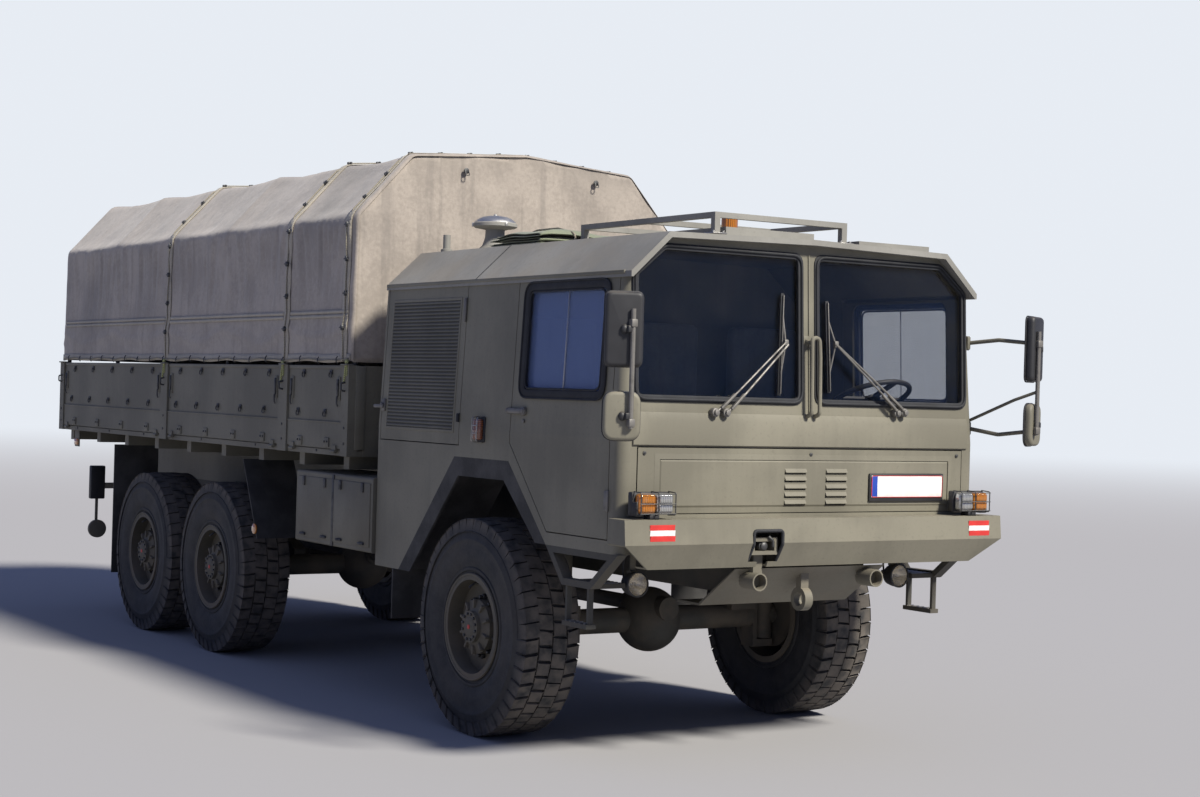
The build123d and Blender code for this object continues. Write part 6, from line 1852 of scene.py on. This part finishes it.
@dataclass
class Seats:
    """Three padded seats on their plinths, in place of plain blocks."""

    places: tuple[tuple[str, float, float], ...] = (("left", 0.750, 0.520), ("middle", 0.0, 0.480),
                                                    ("right", -0.750, 0.520))
    floor_z: float = 1.62
    seat_z: float = 1.700
    depth: float = 0.560
    thick: float = 0.120
    back_height: float = 0.700
    back_thick: float = 0.110
    rear: float = 1.470
    cuts: int = 7

    def pad(self, name: str, centre: Point, size: Point) -> None:
        """Makes one crowned pad.

        Args:
            name: The piece's name.
            centre: Its middle.
            size: Its sides.
        """
        shape = Shaper(Finish.SEAT)
        mesh = shape.mesh
        bmesh.ops.create_cube(mesh, size=1.0)
        bmesh.ops.subdivide_edges(mesh, edges=mesh.edges[:], cuts=self.cuts, use_grid_fill=True)
        thin = min(range(3), key=lambda axis: size[axis])
        for point in mesh.verts:
            first, second = (abs(point.co[axis]) * 2 for axis in range(3) if axis != thin)
            crown = (1.0 - first ** 4) * (1.0 - second ** 4)
            seam = 1.0 - 0.10 * max(0.0, 1.0 - abs(abs(point.co[(thin + 1) % 3]) - 0.26) * 22.0)
            for axis in range(3):
                if axis == thin:
                    point.co[axis] *= (0.72 + 0.28 * crown) * seam
                else:
                    point.co[axis] *= 1.0 - 0.05 * (abs(point.co[thin]) * 2) ** 2
        bmesh.ops.transform(mesh, matrix=Matrix.Translation(centre) @ Matrix.Diagonal((*size, 1.0)),
                            verts=mesh.verts)
        piece = settle(name, Slot.SEAT, merge(name, [shape], 80.0))
        smoothing = piece.modifiers.new("round", "SUBSURF")
        smoothing.levels = 1
        smoothing.render_levels = 1

    def build(self) -> None:
        """Makes the pads and plinths."""
        plinth = Shaper(Finish.UNDER)
        y = FRONT_Y + self.rear
        back, depth, seat_z = self.back_thick, self.depth, self.seat_z
        for word, x, wide in self.places:
            self.pad(f"seat_cushion_{word}", (x, y - back - depth / 2, seat_z + self.thick / 2 - 0.005),
                     (wide, depth, self.thick))
            self.pad(f"seat_back_{word}", (x, y - back / 2 - 0.006, seat_z + 0.04 + self.back_height / 2),
                     (wide, back, self.back_height - 0.08))
            plinth.block((x, y - back - 0.06, (self.floor_z + seat_z) / 2),
                         (wide - 0.12, 0.24, seat_z - self.floor_z + 0.01), 0.006)
            plinth.block((x, y - back / 2 - depth / 2, seat_z + 0.006), (wide - 0.03, depth + 0.06, 0.02),
                         0.005)
        piece = assemble("seat_plinths", Slot.SEAT, plinth)
        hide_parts("seats")


@dataclass
class RoofTrim:
    """Air intake cap, stub pipe and the folded canvas on the roof."""

    intake_at: tuple[float, float, float] = (-0.600, -1.840, 2.832)
    stub_at: tuple[float, float, float] = (-0.880, -1.730, 2.820)
    fold_at: tuple[float, float] = (-0.250, -2.390)
    fold_size: tuple[float, float, float] = (1.060, 0.600, 0.118)
    folds: int = 5
    fold_cells: tuple[int, int] = (36, 44)
    cords: tuple[float, float] = (-0.30, 0.26)

    def intake(self) -> None:
        """Mushroom cap on a painted neck, and the open stub pipe with painted shade in its bore."""
        neck, cap, dark = shapes(Finish.ROOF_PAINT, Finish.ALUMINIUM, Finish.RUBBER)
        neck.turned(self.intake_at, UP, [(0.0, -0.002), (0.105, -0.002), (0.105, 0.012), (0.078, 0.040),
                                         (0.062, 0.088), (0.060, 0.140), (0.0, 0.140)], 40)
        neck.turned(self.intake_at, UP, [(0.062, 0.138), (0.126, 0.150), (0.138, 0.158), (0.138, 0.176),
                                         (0.132, 0.182), (0.062, 0.182)], 48)
        cap.turned(self.intake_at, UP, [(0.0, 0.228), (0.035, 0.226), (0.075, 0.219), (0.105, 0.207),
                                        (0.126, 0.190), (0.132, 0.180), (0.120, 0.176)], 48)
        centre = Vector(self.intake_at)
        cap.ball(centre + Vector((0, 0, 0.229)), (0.012, 0.012, 0.008), rings=8)
        for turn in range(3):
            angle = math.radians(120 * turn + 30)
            cap.block(centre + Vector((0.136 * math.cos(angle), 0.136 * math.sin(angle), 0.168)),
                      (0.018, 0.018, 0.026), 0.003, Matrix.Rotation(angle, 4, "Z"))
        neck.turned(self.stub_at, UP, [(0.019, 0.104), (0.023, 0.106), (0.023, 0.020), (0.036, 0.016),
                                       (0.036, 0.0)], 28)
        # The black lining of the stub's bore and floor is painted shade inside the open pipe.
        dark.turned(self.stub_at, UP, [(0.019, 0.104), (0.019, 0.040), (0.0, 0.040)], 28)
        piece = assemble("intake_cap", Slot.BODY, neck, cap, dark)
        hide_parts("air_intake")

    def fold_point(self, along: float, across: float) -> Vector:
        """Point of the canvas, folded to and fro in a low pile.

        Args:
            along: Share of the strip's length through the pile, from 0 to 1.
            across: Share of its width, from 0 to 1.

        Returns:
            The point.
        """
        wide, deep, high = self.fold_size
        run = along * self.folds
        layer = min(int(run), self.folds - 1)
        share = run - layer
        go = share if layer % 2 == 0 else 1.0 - share
        step = high * 0.80 / self.folds
        turn = 0.06
        inset = 0.018 * ((layer * 7) % 3)
        u = (across - 0.5) * (wide - inset)
        v = (go - 0.5) * (deep - inset * 1.4)
        rise = layer * step
        if share > 1.0 - turn and layer < self.folds - 1:
            bend = (share - 1.0 + turn) / turn
            rise += step * bend * bend * (3 - 2 * bend) * 0.5
        if share < turn and layer > 0:
            bend = 1.0 - share / turn
            rise -= step * bend * bend * (3 - 2 * bend) * 0.5
        edge = max(abs(u) / (wide / 2), abs(v) / (deep / 2))
        plump = 1.0 - max(0.0, edge - 0.55) ** 2 * 2.2
        waves = noise.noise(Vector((u * 3.1, v * 3.7, 0.3))) * 0.022
        waves += noise.noise(Vector((u * 9.0, v * 8.0, 2.0))) * 0.006
        z = 0.007 + rise * plump + max(0.0, waves + 0.010) * (rise / high) * 1.4
        swing = noise.noise(Vector((u * 2.0, layer * 1.9, 4.0))) * 0.022
        return Vector((self.fold_at[0] + u, self.fold_at[1] + v + swing, self.intake_at[2] + 0.004 + z))

    def canvas(self) -> None:
        """Folded canvas with its cords."""
        wide, deep, _ = self.fold_size
        shape = Shaper(Finish.ROOF_CLOTH)
        shape.cloth(self.folds * self.fold_cells[0], self.fold_cells[1], self.fold_point,
                    (deep * self.folds, wide))
        shape.turn_out()
        piece = hang("folded_roof_canvas", Slot.ROOF_CANVAS, shape, 0.0035, 0.0)
        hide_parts("roof_canvas")
        band = Shaper(Finish.ROPE)
        y, base = self.fold_at[1], self.intake_at[2] + 0.004
        for shift in self.cords:
            top = max(self.fold_point(along, 0.5 + shift / wide).z for along in (0.9, 0.5)) + 0.014
            half = [(deep / 2 + 0.018, base), (deep / 2 + 0.012, top - 0.03), (0.12, top + 0.008)]
            line = [(-back, z) for back, z in half] + half[::-1]
            band.pipe(corners([(self.fold_at[0] + shift, y + back, z) for back, z in line], 0.06), 0.006)
        assemble("canvas_straps", Slot.ROOF_CANVAS, band)

    def rack_fixings(self) -> None:
        """Clamps and bolts at the rack's feet."""
        shape = Shaper(Finish.STEEL)
        low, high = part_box("roof_rack")
        for x in (low.x + 0.018, high.x - 0.018):
            for y in (low.y + 0.018, high.y - 0.018):
                shape.block((x, y, low.z + 0.006), (0.090, 0.090, 0.008), 0.002)
                for shift in (-0.032, 0.032):
                    shape.drum((x + shift, y - 0.028, low.z + 0.014), UP, 0.009, 0.012, 0.001, 6)
        assemble("rack_feet", Slot.BODY, shape)

    def build(self) -> None:
        """Makes everything on the roof."""
        self.intake()
        self.canvas()
        self.rack_fixings()


@dataclass(frozen=True)
class Face:
    """Upright outer face of a dropside or of the tailgate."""

    out: Vector
    plane: float

    def at(self, along: float, out: float, z: float) -> Vector:
        """Point by its place along the face, its distance out of it and its height."""
        side = self.out * (self.plane + out)
        return Vector((along * abs(self.out.y), along * abs(self.out.x), z)) + side

    def size(self, along: float, out: float, high: float) -> Point:
        """Size of a box on the face, from its length along it, its depth out of it and its height."""
        return (along, out, high) if self.out.y else (out, along, high)


@dataclass
class BedTrim:
    """Rings, latches, hinges and ribs on dropsides and tailgate, and the bed's small fittings."""

    panels: tuple[tuple[str, int, int], ...] = (("front", 2, 2), ("middle", 5, 4), ("rear", 5, 4))
    gate_rings: int = 5
    rows: tuple[float, float] = (2.055, 1.800)
    band_top: float = 1.737
    side_plane: float = 1.250
    gate_plane: float = 4.540
    posts: tuple[float, ...] = (-1.140, -0.180, 2.040, 4.490)
    rave_bolts: tuple[float, ...] = (-0.70, 0.30, 1.30, 2.50, 3.30, 4.10)

    def panel(self, iron: Shaper, paint: Shaper, face: Face, ends: Point, count: int, shifts: Point,
              inset: float) -> None:
        """Adds what dropsides and tailgate share: two rows of lashing rings, end latches and the upper rib.

        Args:
            iron: Shape of the metal pieces.
            paint: Shape of the painted pieces.
            face: The panel's outer face.
            ends: Its ends along the face.
            count: Rings in a row.
            shifts: How far each row is moved along.
            inset: Distance of the latches from the ends.
        """
        start, end = ends
        for z, shift in zip(self.rows, shifts):
            for at in range(count):
                along = start + (end - start) * (at + 0.5) / count + shift
                iron.block(face.at(along, 0.004, z), face.size(0.040, 0.008, 0.030), 0.002)
                turns = [step * math.pi / 6 for step in range(12)]
                iron.pipe([face.at(along + 0.019 * math.cos(turn), 0.010, z - 0.016 + 0.019 * math.sin(turn))
                           for turn in turns], 0.0038, True, 1)
        for along in (start + inset, end - inset):
            paint.block(face.at(along, 0.004, 1.950), face.size(0.050, 0.010, 0.150), 0.003)
            iron.block(face.at(along, 0.012, 1.955), face.size(0.022, 0.014, 0.110), 0.004)
        paint.block(face.at((start + end) / 2, 0.003, 2.088), face.size(end - start - 0.01, 0.008, 0.022),
                    0.002)

    def dropside(self, side: Side, word: str, rings: int, hinges: int) -> None:
        """Makes the fittings of one dropside.

        Args:
            side: Its side.
            word: Its place, as its node writes it.
            rings: Lashing rings in a row.
            hinges: Number of its hinges.
        """
        body = f"dropside_{side.word}_{word}"
        start, end = (corner.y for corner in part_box(body))
        face = Face(Vector((side.value, 0, 0)), self.side_plane)
        iron, paint = shapes(Finish.DARK_STEEL, Finish.BED_PAINT)
        self.panel(iron, paint, face, (start, end), rings, (-0.03, 0.05), 0.055)
        loop = ((0.010, 1.905), (0.018, 1.895), (0.018, 1.850), (0.010, 1.835))
        for along in (start + 0.055, end - 0.055):
            iron.pipe(corners([face.at(along, out, z) for out, z in loop], 0.010), 0.006)
        paint.block(face.at((start + end) / 2, 0.0075, self.band_top - 0.004),
                    face.size(end - start - 0.004, 0.006, 0.010), 0.002)
        for at in range(hinges):
            along = start + (end - start) * (at + 0.5) / hinges
            paint.block(face.at(along, 0.010, 1.600), face.size(0.070, 0.010, 0.060), 0.003)
            for shift in (-0.020, 0.020):
                iron.drum(face.at(along + shift, 0.017, 1.605), face.out, 0.007, 0.008, 0.001, 6)
        assemble(f"dropside_fittings_{side.word}_{word}", Slot.BODY, iron, paint, body=body)
        dress(Finish.BED_PAINT, body)

    def tailgate(self) -> None:
        """Makes the tailgate's rings, latches and ribs."""
        low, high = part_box("tailgate")
        face = Face(Vector(REARWARD), self.gate_plane)
        iron, paint = shapes(Finish.DARK_STEEL, Finish.BED_PAINT)
        self.panel(iron, paint, face, (low.x, high.x), self.gate_rings, (0.0, 0.0), 0.07)
        paint.block(face.at(0.0, 0.005, self.band_top - 0.08), face.size(high.x - low.x - 0.02, 0.010, 0.150),
                    0.003)
        assemble("tailgate_fittings", Slot.BODY, iron, paint, body="tailgate")
        dress(Finish.BED_PAINT, "tailgate")

    def bed(self) -> None:
        """Makes the rave bolts, post caps, hooks, headboard strips and amber side reflectors."""
        iron, amber, paint = shapes(Finish.DARK_STEEL, Finish.AMBER, Finish.BED_PAINT)
        hook = ((0.0, 1.99), (0.028, 1.985), (0.028, 1.94), (0.0, 1.935))
        for side in Side:
            sign, out = side.value, (side.value, 0, 0)
            for y in self.posts:
                paint.block((sign * 1.256, y, 2.104), (0.052, 0.092, 0.010), 0.003)
                for z in (1.600, 1.700):
                    iron.drum((sign * BED_HIGH.x, y, z), out, 0.009, 0.008, 0.001, 6)
                iron.pipe(corners([(sign * (BED_HIGH.x + reach), y, z) for reach, z in hook], 0.010), 0.006)
            for y in self.rave_bolts:
                iron.drum((sign * 1.2455, y, 1.542), out, 0.009, 0.008, 0.001, 6)
            paint.block((sign * 1.210, 4.20, 1.450), (0.010, 0.110, 0.14), 0.003)
            amber.block((sign * 1.219, 4.20, 1.420), (0.012, 0.090, 0.050), 0.003)
            amber.drum((sign * 1.242, 0.285, 0.955), out, 0.036, 0.012, 0.003, 24)
            paint.block((sign * 1.182, BED_LOW.y - 0.003, 1.83), (0.066, 0.014, 0.536), 0.003)
        assemble("bed_fittings", Slot.BODY, iron, amber, paint)
        dress(Finish.BED_PAINT, "load_bed")

    def build(self) -> None:
        """Makes the panels' and the bed's pieces."""
        for side in Side:
            for word, rings, hinges in self.panels:
                self.dropside(side, word, rings, hinges)
        self.tailgate()
        self.bed()


@dataclass
class Underbody:
    """Finishes and small pieces below the cab and bed: locker doors and step treads."""

    door_length: float = 0.52
    door_z: float = 1.165
    grips: tuple[tuple[int, float, float, float, float, float, float], ...] = (
        (7, 1.108, 0.275, 0.038, 0.979, 0.200, 0.005), (5, 1.193, 0.30, 0.045, 0.768, 0.052, 0.004))

    def lockers(self) -> None:
        """Doors, latches and straps of the lockers."""
        low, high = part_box("side_lockers")
        paint, iron = shapes(Finish.BED_PAINT, Finish.DARK_STEEL)
        for side in Side:
            x, sign = side.value * high.x, side.value
            for centre in (low.y + 0.29, high.y - 0.29):
                paint.block((x + sign * 0.002, centre, self.door_z), (0.008, self.door_length, 0.40), 0.003)
                for shift in (-0.16, 0.16):
                    iron.block((x + sign * 0.010, centre + shift, 1.335), (0.014, 0.030, 0.060), 0.004)
                    iron.drum((x + sign * 0.012, centre + shift, 0.985), REARWARD, 0.009, 0.07, 0.002, 12)
            iron.block((x + sign * 0.004, (low.y + high.y) / 2, self.door_z), (0.006, 0.030, 0.46), 0.002)
        assemble("locker_doors", Slot.BODY, paint, iron)

    def treads(self) -> None:
        """Grip bars on the steps."""
        shape = Shaper(Finish.STEEL)
        for side in Side:
            for count, x, first, pitch, z, wide, high in self.grips:
                for at in range(count):
                    shape.block((side.value * x, FRONT_Y + first + at * pitch, z), (wide, 0.010, high), 0.001)
        assemble("step_treads", Slot.BODY, shape)

    def build(self) -> None:
        """Makes the pieces and gives the solids their finish."""
        self.lockers()
        self.treads()
        dress(Finish.BED_PAINT, "side_lockers")
        dress(Finish.FLAP, "mudguards")
        dress(Finish.UNDER, "chassis_frame", "driveline", "front_axle", "rear_axles", "tow_coupling",
              "knuckle_left", "knuckle_right")


def main() -> None:
    """Builds the studio and every part of the truck."""
    logging.basicConfig(level=logging.INFO, format="%(message)s")
    Studio().build()
    Wheels().build()
    CabSides().build()
    CabFace().build()
    FrontTrim().build()
    for side in Side:
        DoorTrim(side).build()
        LouvreTrim(side).build()
    LampSet().build()
    MirrorSet().build()
    Seats().build()
    RoofTrim().build()
    BedTrim().build()
    Underbody().build()
    Tarp().build()


if __name__ == "__main__":
    main()
